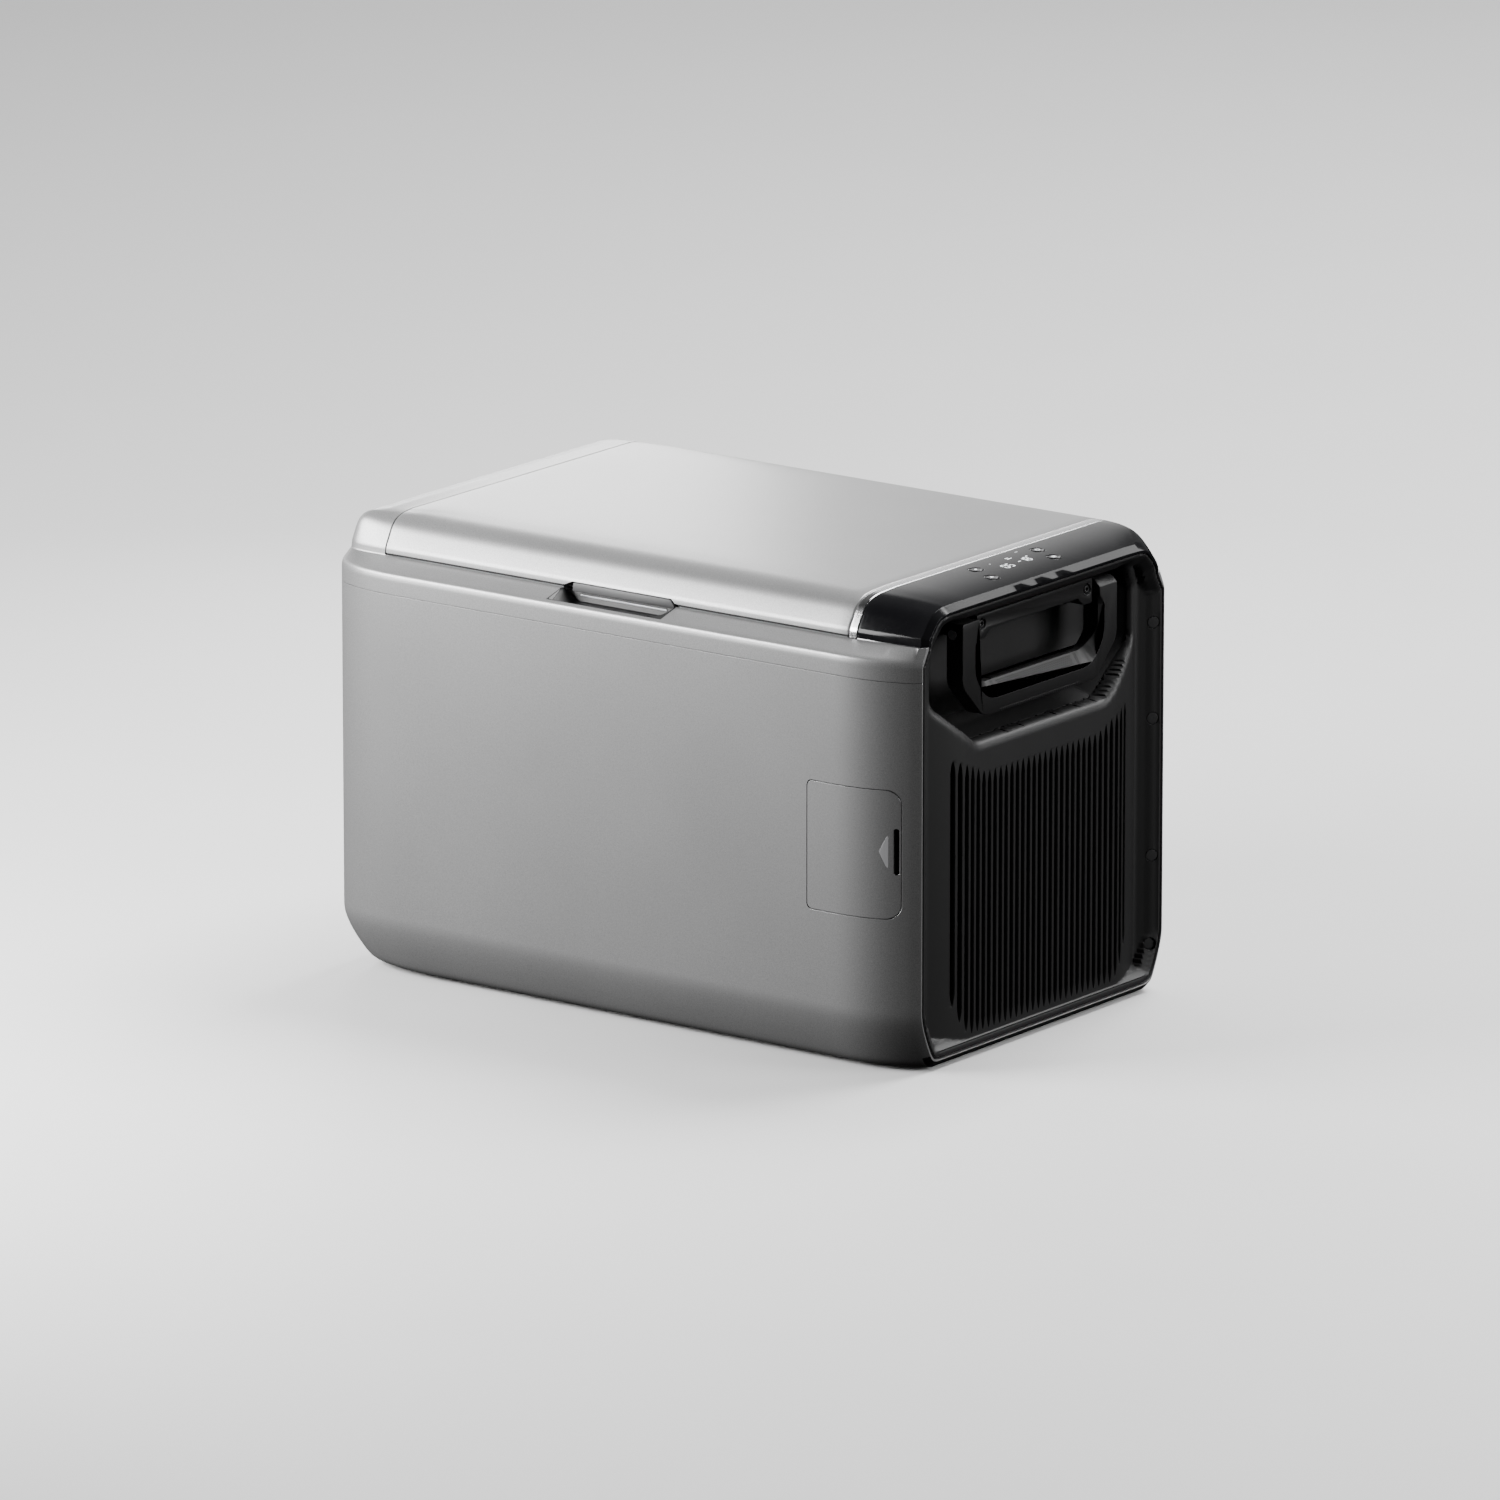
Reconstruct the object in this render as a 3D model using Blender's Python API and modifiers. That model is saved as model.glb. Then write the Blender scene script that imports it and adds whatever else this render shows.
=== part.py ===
"""Portable compressor cooler fridge, about 35 litres, built piece by piece.

The object stands on z = 0 with its origin at the bottom centre of its box: +X runs along its
length to the end that holds the grille, +Y runs to the hinges at the back, and +Z is up.
Sizes below are in millimetres; every mesh is scaled to metres when it is made.
"""

import math
from collections import namedtuple

import bmesh
import bpy
from mathutils import Matrix, Vector

MM = 0.001

# ---- driving dimensions -------------------------------------------------------------------
LENGTH = 595.0
DEPTH = 390.0
HEIGHT = 388.6
HALF_X = LENGTH / 2
HALF_Y = DEPTH / 2

FOOT_LIFT = 2.0
SPLIT_Z = 330.0
SEAM = 0.3
SHELL_WALL = 2.8
END_X = HALF_X - 4.8
END_BEVEL = 5.0
END_HALF_Y = HALF_Y - 20.0
END_WALL = 6.0
CURVE_START_X = 226.0
CURVE_POWER = 2.4
CORNER_LONG = 75.0
CORNER_FLARE = 0.65
CORNER_SHORT = 29.0
CORNER_POWER = 2.1

LID_X = (-252.2, 222.7)
LID_FRONT_Y = -169.0
LID_REAR_Y = 184.2
LID_BOTTOM_Z = 355.4
LID_WALL = 2.6
STRIP_X = (223.7, 231.8)
PANEL_X = (232.2, HALF_X)
PANEL_BOTTOM_Z = 357.4

TUB_X = (-240.0, 95.0)
TUB_STEP_X = 205.0
TUB_HALF_Y = 150.0
TUB_FLOOR_Z = 62.0
TUB_STEP_Z = 262.0
TUB_WALL = 2.2
DECK_Z = (346.0, 350.0)
BAY_X = 135.0
BAY_TOP_Z = 240.0
FOAM_END_X = 222.0

LID_AXIS = (189.0, 368.0)
HINGE_XS = (-150.0, 120.0)
LATCH_AXIS = (-161.0, 356.8)
LATCH_X = (-68.0, 49.0)

HANDLE_AXIS = (283.5, 354.5)
HANDLE_X = (277.0, 293.0)
HANDLE_TOP = 363.5
BRACKET_X = (272.0, 287.5)
BRACKET_BACK_X = 250.6
BRACKET_TOP = 364.0
LEFT_AXIS = (-285.0, 348.5)
LEFT_HANDLE_X = (279.6, 293.2)
LEFT_HANDLE_TOP = 356.5
LEFT_BRACKET_X = (274.5, 288.5)
LEFT_BRACKET_BACK_X = 272.9
LEFT_BRACKET_TOP = 357.0
ROD_RADIUS = 2.5
ROD_BORE = 2.6

# Handle pockets: half widths at the bottom and at the shoulders, then the heights of the
# bottom, of the shoulders and of the top.
RIGHT_POCKET = (89.0, 140.0, 262.0, 300.0, 368.0)
RIGHT_POCKET_BACK = (84.0, 124.0, 274.0, 304.0, 367.0)
RIGHT_POCKET_FLANGE = (89.0, 140.0, 262.0, 300.0, 364.0)
LEFT_POCKET = (86.0, 122.0, 264.0, 296.0, 366.0)

HATCH_X = (201.0, 284.4)
HATCH_Z = (131.4, 238.6)
HATCH_AXIS = (196.0, -190.0)
HATCH_PIN_RADIUS = 1.0
HATCH_BORE = 1.08
HINGE_PIN_RADIUS = 1.5
HINGE_BORE = 1.58
INLET_X = (150.0, 205.0)
INLET_Z = (70.0, 105.0)

BUTTONS = {
    "button_down": (248.6, -29.0),
    "button_up": (271.0, -38.0),
    "button_power": (249.0, 57.0),
    "button_mode": (270.5, 50.0),
}
BUTTON_HOLE = 6.7
FAN_CENTRE = (-68.0, 68.0)
FEET = [(x, y) for x in (-215.0, 215.0) for y in (-125.0, 125.0)]

# One level of the outer form. front, rear, left and end are distances from the middle of the
# object to its sides; end is the half width where the grille end starts to bevel; tilt is the
# direction that the surface faces at that end, from 0 (sideways) to 90 (up); up says how far
# an inner skin moves down for each unit that it moves in. flare and flare_rear say how far the
# front and the rear move out by the time they have turned into the left wall.
Level = namedtuple("Level", "z z_rear z_left z_end front rear left end tilt up flare flare_rear",
                   defaults=(0.0, 0.0))


def lower_level(inset, z, tilt, up):
    return Level(z, z, z, z, HALF_Y - inset, HALF_Y - inset, HALF_X - inset,
                 END_HALF_Y - inset, tilt, up)


def upper_level(*numbers):
    """A level above the wall, whose step from the wall fades out round the left corners."""
    level = Level(*numbers)
    return level._replace(flare=CORNER_FLARE * (HALF_Y - level.front),
                          flare_rear=CORNER_FLARE * (HALF_Y - level.rear))


LEVELS = (
    lower_level(27.0, FOOT_LIFT, -90, -1.0),
    lower_level(21.0, 3.3, -70, -0.9),
    lower_level(16.0, 7.0, -45, -0.6),
    lower_level(12.0, 14.0, -30, -0.4),
    lower_level(6.5, 26.0, -22, -0.3),
    lower_level(2.2, 38.0, -12, -0.1),
    lower_level(0.0, 48.0, 0, 0.0),
    upper_level(343.0, 352.0, 343.0, 341.0, 195.0, 195.0, 297.3, 175.0, 0, 0.0),
    upper_level(348.0, 358.0, 348.0, 345.0, 194.2, 193.0, 296.4, 174.0, 12, 0.5),
    upper_level(355.0, 361.0, 356.0, 359.0, 169.0, 186.0, 295.0, 167.6, 25, 1.0),
    upper_level(362.0, 363.5, 362.0, 364.5, 168.8, 184.7, 294.2, 164.4, 28, 0.1),
    upper_level(379.0, 378.0, 377.0, 378.4, 158.5, 184.6, 291.2, 152.6, 40, 0.4),
    upper_level(384.2, 384.6, 382.4, 382.3, 151.6, 183.2, 288.4, 146.0, 60, 0.75),
    upper_level(387.4, 387.6, 386.2, 384.1, 141.0, 179.0, 283.4, 137.0, 80, 0.95),
    upper_level(HEIGHT, HEIGHT, 388.2, 384.6, 116.0, 166.0, 271.0, 117.0, 90, 1.0),
)


# ---- scene set-up -------------------------------------------------------------------------
def clear_scene():
    for obj in list(bpy.data.objects):
        bpy.data.objects.remove(obj, do_unlink=True)


def new_collection(name):
    made = bpy.data.collections.new(name)
    bpy.context.scene.collection.children.link(made)
    return made


clear_scene()
PARTS = new_collection("Cooler_Fridge")
CUTTERS = new_collection("Cutters")


def material(name, colour, roughness, metallic=0.0):
    made = bpy.data.materials.new(name)
    made.use_nodes = True
    shader = made.node_tree.nodes["Principled BSDF"]
    shader.inputs["Base Color"].default_value = (*colour, 1.0)
    shader.inputs["Roughness"].default_value = roughness
    shader.inputs["Metallic"].default_value = metallic
    return made


SILVER = material("silver_paint", (0.33, 0.33, 0.34), 0.42, 0.55)
BLACK = material("black_plastic", (0.018, 0.018, 0.019), 0.55)
GLOSS = material("gloss_black", (0.010, 0.010, 0.011), 0.10)
CHROME = material("bright_trim", (0.82, 0.82, 0.83), 0.16, 1.0)
LINER = material("liner_grey", (0.55, 0.56, 0.57), 0.45)
FOAM = material("insulation_foam", (0.78, 0.70, 0.48), 0.95)
RUBBER = material("rubber", (0.03, 0.03, 0.032), 0.85)
STEEL = material("zinc_steel", (0.55, 0.56, 0.57), 0.35, 1.0)
ALUMINIUM = material("fin_aluminium", (0.72, 0.73, 0.74), 0.38, 1.0)
BOARD = material("circuit_board", (0.02, 0.16, 0.07), 0.5)
ENAMEL = material("black_enamel", (0.02, 0.02, 0.022), 0.3)
WIRE = material("coated_wire", (0.80, 0.80, 0.80), 0.4)


# ---- mesh helpers -------------------------------------------------------------------------
def finish(name, bm, look=None):
    """Turns a bmesh in millimetres into an object in metres: a part, or a cutter without a look."""
    bmesh.ops.recalc_face_normals(bm, faces=bm.faces)
    bmesh.ops.scale(bm, vec=(MM, MM, MM), verts=bm.verts)
    mesh = bpy.data.meshes.new(name)
    bm.to_mesh(mesh)
    bm.free()
    obj = bpy.data.objects.new(name, mesh)
    if look is None:
        obj.hide_render = True
        obj.display_type = "WIRE"
        CUTTERS.objects.link(obj)
    else:
        mesh.materials.append(look)
        PARTS.objects.link(obj)
    return obj


def boolean(obj, other, operation):
    modifier = obj.modifiers.new(operation.lower(), "BOOLEAN")
    modifier.operation = operation
    modifier.solver = "EXACT"
    modifier.object = other
    return obj


def cut(obj, *cutters):
    for cutter in cutters:
        boolean(obj, cutter, "DIFFERENCE")
    return obj


def join(obj, *others):
    for other in others:
        boolean(obj, other, "UNION")
    return obj


def keep_inside(obj, other):
    return boolean(obj, other, "INTERSECT")


def box(name, x, y, z, look=None, bevel=0.0, steps=2):
    bm = bmesh.new()
    bmesh.ops.create_cube(bm, size=1.0)
    size = (x[1] - x[0], y[1] - y[0], z[1] - z[0])
    middle = Vector(((x[0] + x[1]) / 2, (y[0] + y[1]) / 2, (z[0] + z[1]) / 2))
    bmesh.ops.scale(bm, vec=size, verts=bm.verts)
    bmesh.ops.translate(bm, vec=middle, verts=bm.verts)
    if bevel:
        bmesh.ops.bevel(bm, geom=bm.edges, offset=bevel, segments=steps, profile=0.5, affect="EDGES")
    return finish(name, bm, look)


AXES = {
    "X": lambda a, b, c: (c, a, b),
    "Y": lambda a, b, c: (a, c, b),
    "Z": lambda a, b, c: (a, b, c),
}


def add_prism(bm, outline, axis, low, high):
    """Extrudes a flat outline, given in the two other axes in order, along one axis."""
    place = AXES[axis]
    face = bm.faces.new([bm.verts.new(place(a, b, low)) for a, b in outline])
    grown = bmesh.ops.extrude_face_region(bm, geom=[face])["geom"]
    shift = place(0.0, 0.0, high - low)
    bmesh.ops.translate(bm, vec=shift, verts=[v for v in grown if isinstance(v, bmesh.types.BMVert)])


def prism(name, outline, axis, low, high, look=None):
    bm = bmesh.new()
    add_prism(bm, outline, axis, low, high)
    return finish(name, bm, look)


def cylinder(name, centre, axis, radius, length, look=None, sides=24):
    """A cylinder that starts at centre and runs along axis, which is any direction."""
    bm = bmesh.new()
    bmesh.ops.create_cone(bm, cap_ends=True, segments=sides, radius1=radius, radius2=radius, depth=length)
    direction = Vector(axis).normalized()
    turn = direction.to_track_quat("Z", "Y").to_matrix().to_4x4()
    place = Matrix.Translation(Vector(centre) + direction * length / 2)
    bmesh.ops.transform(bm, matrix=place @ turn, verts=bm.verts)
    return finish(name, bm, look)


def turned(name, profile, centre, look, sides=32):
    """A shape turned about a vertical axis. The profile runs from the top of the axis to its bottom."""
    mesh = bpy.data.meshes.new(name)
    points = [(radius * MM, 0.0, z * MM) for radius, z in profile]
    mesh.from_pydata(points, [(i, i + 1) for i in range(len(points) - 1)], [])
    mesh.materials.append(look)
    obj = bpy.data.objects.new(name, mesh)
    obj.location = Vector(centre) * MM
    PARTS.objects.link(obj)
    screw = obj.modifiers.new("turn", "SCREW")
    screw.steps = screw.render_steps = sides
    screw.use_merge_vertices = True
    screw.merge_threshold = 0.00005
    screw.use_smooth_shade = True
    return obj


def rounded(outline, radii, steps=4):
    """The outline with each corner replaced by an arc. radii is one number, or one for each corner."""
    if not isinstance(radii, (list, tuple)):
        radii = [radii] * len(outline)
    made = []
    for i, (corner, radius) in enumerate(zip(outline, radii)):
        here = Vector(corner)
        to_last = (Vector(outline[i - 1]) - here).normalized()
        to_next = (Vector(outline[(i + 1) % len(outline)]) - here).normalized()
        half = to_last.angle(to_next) / 2
        if radius <= 0 or half > math.radians(89):
            made.append(tuple(here))
            continue
        centre = here + (to_last + to_next).normalized() * radius / math.sin(half)
        start = here + to_last * radius / math.tan(half) - centre
        end = here + to_next * radius / math.tan(half) - centre
        sweep = start.angle_signed(end)
        for k in range(steps + 1):
            turn = Matrix.Rotation(-sweep * k / steps, 2)
            made.append(tuple(centre + turn @ start))
    return made


def rectangle(x, y):
    return [(x[0], y[0]), (x[1], y[0]), (x[1], y[1]), (x[0], y[1])]


def symmetric(half_outline):
    """A closed outline from the points of its +first-axis side, listed from the bottom to the top."""
    return half_outline + [(-a, b) for a, b in reversed(half_outline)]


# ---- the outer form -----------------------------------------------------------------------
def level_inset(level, inset, end_inset):
    up = level.up
    drop = inset * up
    return level._replace(
        z=level.z - drop, z_rear=level.z_rear - drop, z_left=level.z_left - drop,
        z_end=level.z_end - end_inset * up * 0.95,
        front=level.front - inset, rear=level.rear - inset, left=level.left - inset,
        end=level.end - end_inset)


def level_ring(level, far):
    """Points of one level: from the grille end along the front, round the left end, and back."""
    tilt = math.radians(level.tilt)
    ring = []
    sides = ((-1, level.front, level.z, level.flare), (1, level.rear, level.z_rear, level.flare_rear))
    for side, reach, z_wall, flare in sides:
        if far is None:
            tip = (HALF_X, side * (level.end - END_BEVEL * math.cos(tilt)),
                   level.z_end - END_BEVEL * math.sin(tilt))
        else:
            tip = (far, side * level.end, level.z_end)
        half = [tip]
        for k in range(5, -1, -1):
            t = k / 5
            bend = t ** CURVE_POWER
            half.append((CURVE_START_X + (END_X - CURVE_START_X) * t,
                         side * (reach - (reach - level.end) * bend),
                         z_wall + (level.z_end - z_wall) * t * t))
        for k in range(7):
            angle = math.radians(90 * k / 6)
            x = -level.left + CORNER_LONG * (1 - math.sin(angle) ** (2 / CORNER_POWER))
            y = reach - CORNER_SHORT * (1 - math.cos(angle) ** (2 / CORNER_POWER))
            y += flare * (1 - math.cos(angle))
            z = z_wall + (level.z_left - z_wall) * (1 - math.cos(angle))
            half.append((x, side * y, z))
        ring.append(half)
    return ring[0], ring[1]


def form(name, look=None, inset=0.0, end_inset=0.0, far=None, x=None, y=None, z=None):
    """The outer form, moved in by an inset and kept only inside the given ranges."""
    bm = bmesh.new()
    rings = []
    for level in LEVELS:
        front, rear = level_ring(level_inset(level, inset, end_inset), far)
        rings.append(([bm.verts.new(p) for p in front], [bm.verts.new(p) for p in rear]))
    for low, high in zip(rings, rings[1:]):
        for side in (0, 1):
            for i in range(len(low[side]) - 1):
                bm.faces.new((low[side][i], low[side][i + 1], high[side][i + 1], high[side][i]))
        for i in (0, -1):
            bm.faces.new((low[0][i], low[1][i], high[1][i], high[0][i]))
    for front, rear in (rings[0], rings[-1]):
        for i in range(len(front) - 1):
            bm.faces.new((front[i], front[i + 1], rear[i + 1], rear[i]))
    bmesh.ops.triangulate(bm, faces=bm.faces)
    made = finish(name, bm, look)
    if x or y or z:
        limits = [(span[0], span[1]) if span else (-400.0, 500.0) for span in (x, y, z)]
        keep_inside(made, box(name + "_range", *limits))
    return made


def cavity(name, x=None, y=None, z=None):
    """A cutter that hollows a shell and runs out through the grille end."""
    return form(name, None, SHELL_WALL, END_WALL, HALF_X + 10.0, x, y, z)


# ---- housing ------------------------------------------------------------------------------
def hatch_outline(grow):
    x = (HATCH_X[0] - grow, HATCH_X[1] + grow)
    z = (HATCH_Z[0] - grow, HATCH_Z[1] + grow)
    return rounded(rectangle(x, z), [7, 15, 15, 7])


def pocket_outline(grow, shape=RIGHT_POCKET):
    """Outline of a handle pocket in (y, z): a trapezoid below, straight sides above."""
    bottom_half, side_half, bottom_z, side_z, top_z = shape
    half = [(bottom_half + grow * 0.6, bottom_z - grow), (side_half + grow, side_z - grow * 0.3),
            (side_half + grow, top_z - 22), (side_half - 14 + grow, top_z + grow)]
    return rounded(symmetric(half), 10.0, 3)


def make_lower_shell():
    shell = form("lower_shell", SILVER, z=(-10, SPLIT_Z - SEAM / 2))
    cut(shell, cavity("lower_cavity", z=(-10, SPLIT_Z + 8)))
    cut(shell, prism("hatch_opening", hatch_outline(0.8), "Y", -210, -150))
    cut(shell, prism("left_pocket_opening", pocket_outline(0.4, LEFT_POCKET), "X", -310, -255))
    gap = 0.3
    inlet_x = (INLET_X[0] - gap, INLET_X[1] + gap)
    inlet_z = (INLET_Z[0] - gap, INLET_Z[1] + gap)
    cut(shell, box("inlet_opening", inlet_x, (180, 210), inlet_z))
    for i, (x, y) in enumerate(FEET):
        cut(shell, cylinder(f"foot_hole_{i}", (x, y, -5), (0, 0, 1), 6.5, 25))
    for name, low in (("hatch_boss_low", 134.0), ("hatch_boss_high", 231.0)):
        boss = box(name, (191.5, 199.3), (-192.6, -187.4), (low, low + 5.0))
        join(shell, boss)
    cut(shell, cylinder("hatch_pin_bore", (*HATCH_AXIS, 120), (0, 0, 1), HATCH_BORE, 130, sides=16))
    return shell


def make_top_frame():
    frame = form("top_frame", SILVER, z=(SPLIT_Z + SEAM / 2, 420))
    seat_y = (LID_FRONT_Y - 0.4, LID_REAR_Y + 0.5)
    hollow = cavity("frame_hollow")
    cut(hollow, box("deck_block", (LID_X[0] - 3.5, 228.0), (-210, 210), (DECK_Z[0], 430)))
    seat = box("lid_seat", (LID_X[0] - 0.5, 232.0), seat_y, (DECK_Z[1], 420))
    join(seat, box("panel_seat", (STRIP_X[0] - 0.4, 320.0), (-205, 205), (PANEL_BOTTOM_Z - 1.3, 425)))
    cut(frame, hollow, seat)
    tub_x = (TUB_X[0] - 3, TUB_STEP_X + 3)
    cut(frame, box("tub_opening", tub_x, (-TUB_HALF_Y - 3, TUB_HALF_Y + 3), (320, 380)))
    cut(frame, prism("cup_opening", cup_outline(0.3), "Z", 330, 420))
    cut(frame, prism("left_pocket_opening_top", pocket_outline(0.4, LEFT_POCKET), "X", -310, -255))
    return frame


def cup_outline(grow):
    x = (LATCH_X[0] - grow, LATCH_X[1] + grow)
    y = (-190.5 - grow, -158.3 + grow)
    inner = 5.0
    return [(x[0] + inner, y[0]), (x[1] - inner, y[0]), (x[1], y[1] - 12), (x[1], y[1]), (x[0], y[1]),
            (x[0], y[1] - 12)]


def make_latch_cup():
    """The black scoop in the front shelf that fingers reach into, to pull the latch."""
    cup = prism("latch_cup", cup_outline(0.0), "Z", 340.3, 356, BLACK)
    keep_inside(cup, form("shelf_surface", None, 0.35, 0.35, z=(335, 349.7)))
    floor = 342.6
    x = (LATCH_X[0] + 7.5, LATCH_X[1] - 7.5)
    cut(cup, prism("cup_hollow", rectangle(x, (-188.3, -160.6)), "Z", floor, 370))
    return cup


def make_latch_keeper():
    cup_x = (LATCH_X[0] + 14, LATCH_X[1] - 14)
    return box("latch_keeper", cup_x, (-163.4, -160.9), (347.9, 349.6), STEEL, 0.3, 1)


def make_feet():
    profile = [(0, 5.1), (5.9, 5.1), (6.2, 4.6), (6.2, 1.7), (13.0, 1.7), (14.0, 1.0), (13.4, 0.0), (0, 0.0)]
    for i, (x, y) in enumerate(FEET):
        turned(f"foot_{i + 1}", profile, (x, y, 0), RUBBER)


# ---- grille end ---------------------------------------------------------------------------
FLANGE = ((297.2, 165.5), (284.0, 147.0))
BULGE_HALF = 108.0
SKIN = 2.6


def dish_face(offset):
    """Plan outline (x, y) of the dished face, from the front rim to the rear rim."""
    half = [(HALF_X - 0.3 - offset, BULGE_HALF - offset * 0.3), (FLANGE[1][0] - offset, FLANGE[1][1]),
            (FLANGE[0][0] - offset, FLANGE[0][1] + offset * 0.5), (FLANGE[0][0] - offset, 172.0)]
    return [(x, -y) for x, y in reversed(half)] + half


def grille_slots():
    """(y, lowest z, highest z) of each slot: higher at the sides on top, shorter at the corners below."""
    pitch = 7.8
    count = 32
    for i in range(count):
        y = (i - (count - 1) / 2) * pitch
        side = max(0.0, (abs(y) - 78.0) / 46.0)
        corner = max(0.0, (abs(y) - 104.0) / 20.0)
        yield y, 17.0 + 30.0 * corner ** 2, 234.0 + 20.0 * side


def make_end_cover():
    back = 280.5
    limit_x = (back, HALF_X - 0.3)
    outer = form("dish_limit", None, SHELL_WALL + 1.6, END_WALL + 1.8, HALF_X + 10, x=limit_x)
    plan = [(back, -172.0)] + dish_face(0.0) + [(back, 172.0)]
    cover = prism("right_end_cover", plan, "Z", -5, 395, BLACK)
    keep_inside(cover, outer)
    hollow_plan = [(back - 5, -162.0)] + dish_face(SKIN)[1:-1] + [(back - 5, 162.0)]
    hollow = prism("dish_hollow", hollow_plan, "Z", 12, 371)
    cut(hollow, prism("pocket_collar", pocket_outline(SKIN), "X", 260, 310))
    cut(cover, hollow)
    gap = 0.4
    skirt_x = (279.0, HALF_X - 0.3)
    skirt = form("end_skirt", None, SHELL_WALL + gap, END_WALL + gap, HALF_X + 10, x=skirt_x)
    cut(skirt, form("skirt_hollow", None, SHELL_WALL + 3, END_WALL + 3, HALF_X + 12, x=(265.0, 310.0)))
    join(cover, skirt)
    cut(cover, prism("pocket_opening", pocket_outline(0.0), "X", 260, 310))
    slots = bmesh.new()
    for y, low, high in grille_slots():
        add_prism(slots, rectangle((y - 2.0, y + 2.0), (low, high)), "X", 265, 305)
    cut(cover, finish("slot_cutter", slots))
    for name, centre, normal in screw_places():
        cut(cover, cylinder(name + "_seat", centre - normal * 1.3, normal, 5.3, 8, sides=20))
        if centre.y < 0:
            join(cover, cylinder(name + "_plug", centre - normal * 1.9, normal, 4.7, 1.9, sides=20))
    return cover


def screw_places():
    """Name, centre on the flange face and outward direction of each screw cap."""
    outer = Vector(FLANGE[0])
    run = Vector(FLANGE[1]) - outer
    spot = outer + run * 0.30
    for side, label in ((-1, "front"), (1, "rear")):
        normal = Vector((-run.y, run.x * side, 0)).normalized()
        for i, z in enumerate((39.0, 114.5, 231.5, 313.0)):
            shift = 1.5 if i == 0 else 0.0
            place = Vector((spot.x - shift * 0.7, side * (spot.y - shift), z))
            yield f"screw_cap_{label}_{i + 1}", place, normal


def make_screw_caps():
    """Loose rubber caps over the screws of the rear flange. The front flange has moulded plugs."""
    for name, centre, normal in screw_places():
        if centre.y > 0:
            cylinder(name, centre - normal * 0.9, normal, 5.0, 0.9, RUBBER, 20)


def make_right_pocket():
    """The deep tray behind the grille end's opening, with a flange that lies behind the cover."""
    front, back = 280.1, 248.0
    wall = 2.4
    outer = [pocket_outline(wall), pocket_outline(wall, RIGHT_POCKET_BACK)]
    tray = loft("right_handle_pocket", outer, (front, back - wall), BLACK)
    join(tray, prism("tray_flange", pocket_outline(7.0, RIGHT_POCKET_FLANGE), "X", front - 2.2, front))
    inner = [pocket_outline(0.0), pocket_outline(0.0), pocket_outline(0.0, RIGHT_POCKET_BACK)]
    cut(tray, loft("tray_hollow", inner, (front + 8, front, back)))
    return tray


def loft(name, outlines, places, look=None):
    """A solid through outlines in (y, z) with equal point counts, one at each x."""
    bm = bmesh.new()
    rings = [[bm.verts.new((x, a, b)) for a, b in outline] for outline, x in zip(outlines, places)]
    for low, high in zip(rings, rings[1:]):
        for i in range(len(low)):
            j = (i + 1) % len(low)
            bm.faces.new((low[i], low[j], high[j], high[i]))
    bm.faces.new(rings[0])
    bm.faces.new(rings[-1])
    return finish(name, bm, look)


def make_left_pocket():
    tray = prism("left_handle_pocket", pocket_outline(0.0, LEFT_POCKET), "X", -300, -270.2, BLACK)
    keep_inside(tray, form("left_wall_surface", None, 0.25, 0.25))
    cut(tray, prism("left_tray_hollow", pocket_outline(-2.6, LEFT_POCKET), "X", -310, -272.6))
    return tray


# ---- carry handles ------------------------------------------------------------------------
def handle_outline(top):
    """Outline in (y, z) of a U-shaped bail, hanging down from its heads."""
    half = [(79, top - 81.5), (108, top - 52), (108, top), (81.6, top), (81.6, top - 15),
            (84.5, top - 21), (84.5, top - 50), (66, top - 70.3)]
    radii = [12, 16, 2, 2, 2, 3, 12, 12]
    return rounded(symmetric(half), radii + radii[::-1])


def make_handle(name, side, x, axis, top):
    back, face = x
    low, high = sorted((side * face, side * back))
    handle = prism(name, handle_outline(top), "X", low, high, BLACK)
    chamfer = 7.0
    edge = side * face
    wedge = [(edge - side * chamfer, top + 0.5), (edge + side, top + 0.5), (edge + side, top - chamfer - 1)]
    cut(handle, prism(name + "_chamfer", wedge, "Y", -130, 130))
    cut(handle, cylinder(name + "_bore", (axis[0], -130, axis[1]), (0, 1, 0), ROD_BORE, 260, sides=20))
    return handle


def make_grip(name, side, x, top):
    """The soft pad that lies on top of the handle's lower bar."""
    back, face = x
    pad_x = sorted((side * (face - 1.2), side * (back + 0.6)))
    return box(name, pad_x, (-58, 58), (top - 70.0, top - 67.4), RUBBER, 0.8, 2)


def make_bracket(name, side, x, back_x, axis, top):
    """The cross bar between the two heads, with an end block behind each that carries a pin."""
    bar = box(name, sorted((side * x[0], side * x[1])), (-70, 70), (top - 16, top - 1), BLACK, 1.5, 2)
    for end in (-1, 1):
        y = sorted((end * 62, end * 81.0))
        block_x = sorted((side * back_x, side * (x[1] + 1.5)))
        join(bar, box(f"{name}_block_{end}", block_x, y, (top - 23, top - 0.4), None, 1.2, 1))
    return cut(bar, cylinder(name + "_bore", (axis[0], -90, axis[1]), (0, 1, 0), ROD_BORE, 180, sides=20))


def make_handle_rod(prefix, axis):
    """A steel rod through both heads of the handle and through the bracket between them."""
    rod = cylinder(f"{prefix}_rod", (axis[0], -109, axis[1]), (0, 1, 0), ROD_RADIUS, 218, STEEL, 20)
    for end in (-1, 1):
        start = (axis[0], end * 108.3, axis[1])
        join(rod, cylinder(f"{prefix}_rod_end_{end}", start, (0, end, 0), 4.2, 1.9, sides=20))


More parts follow.
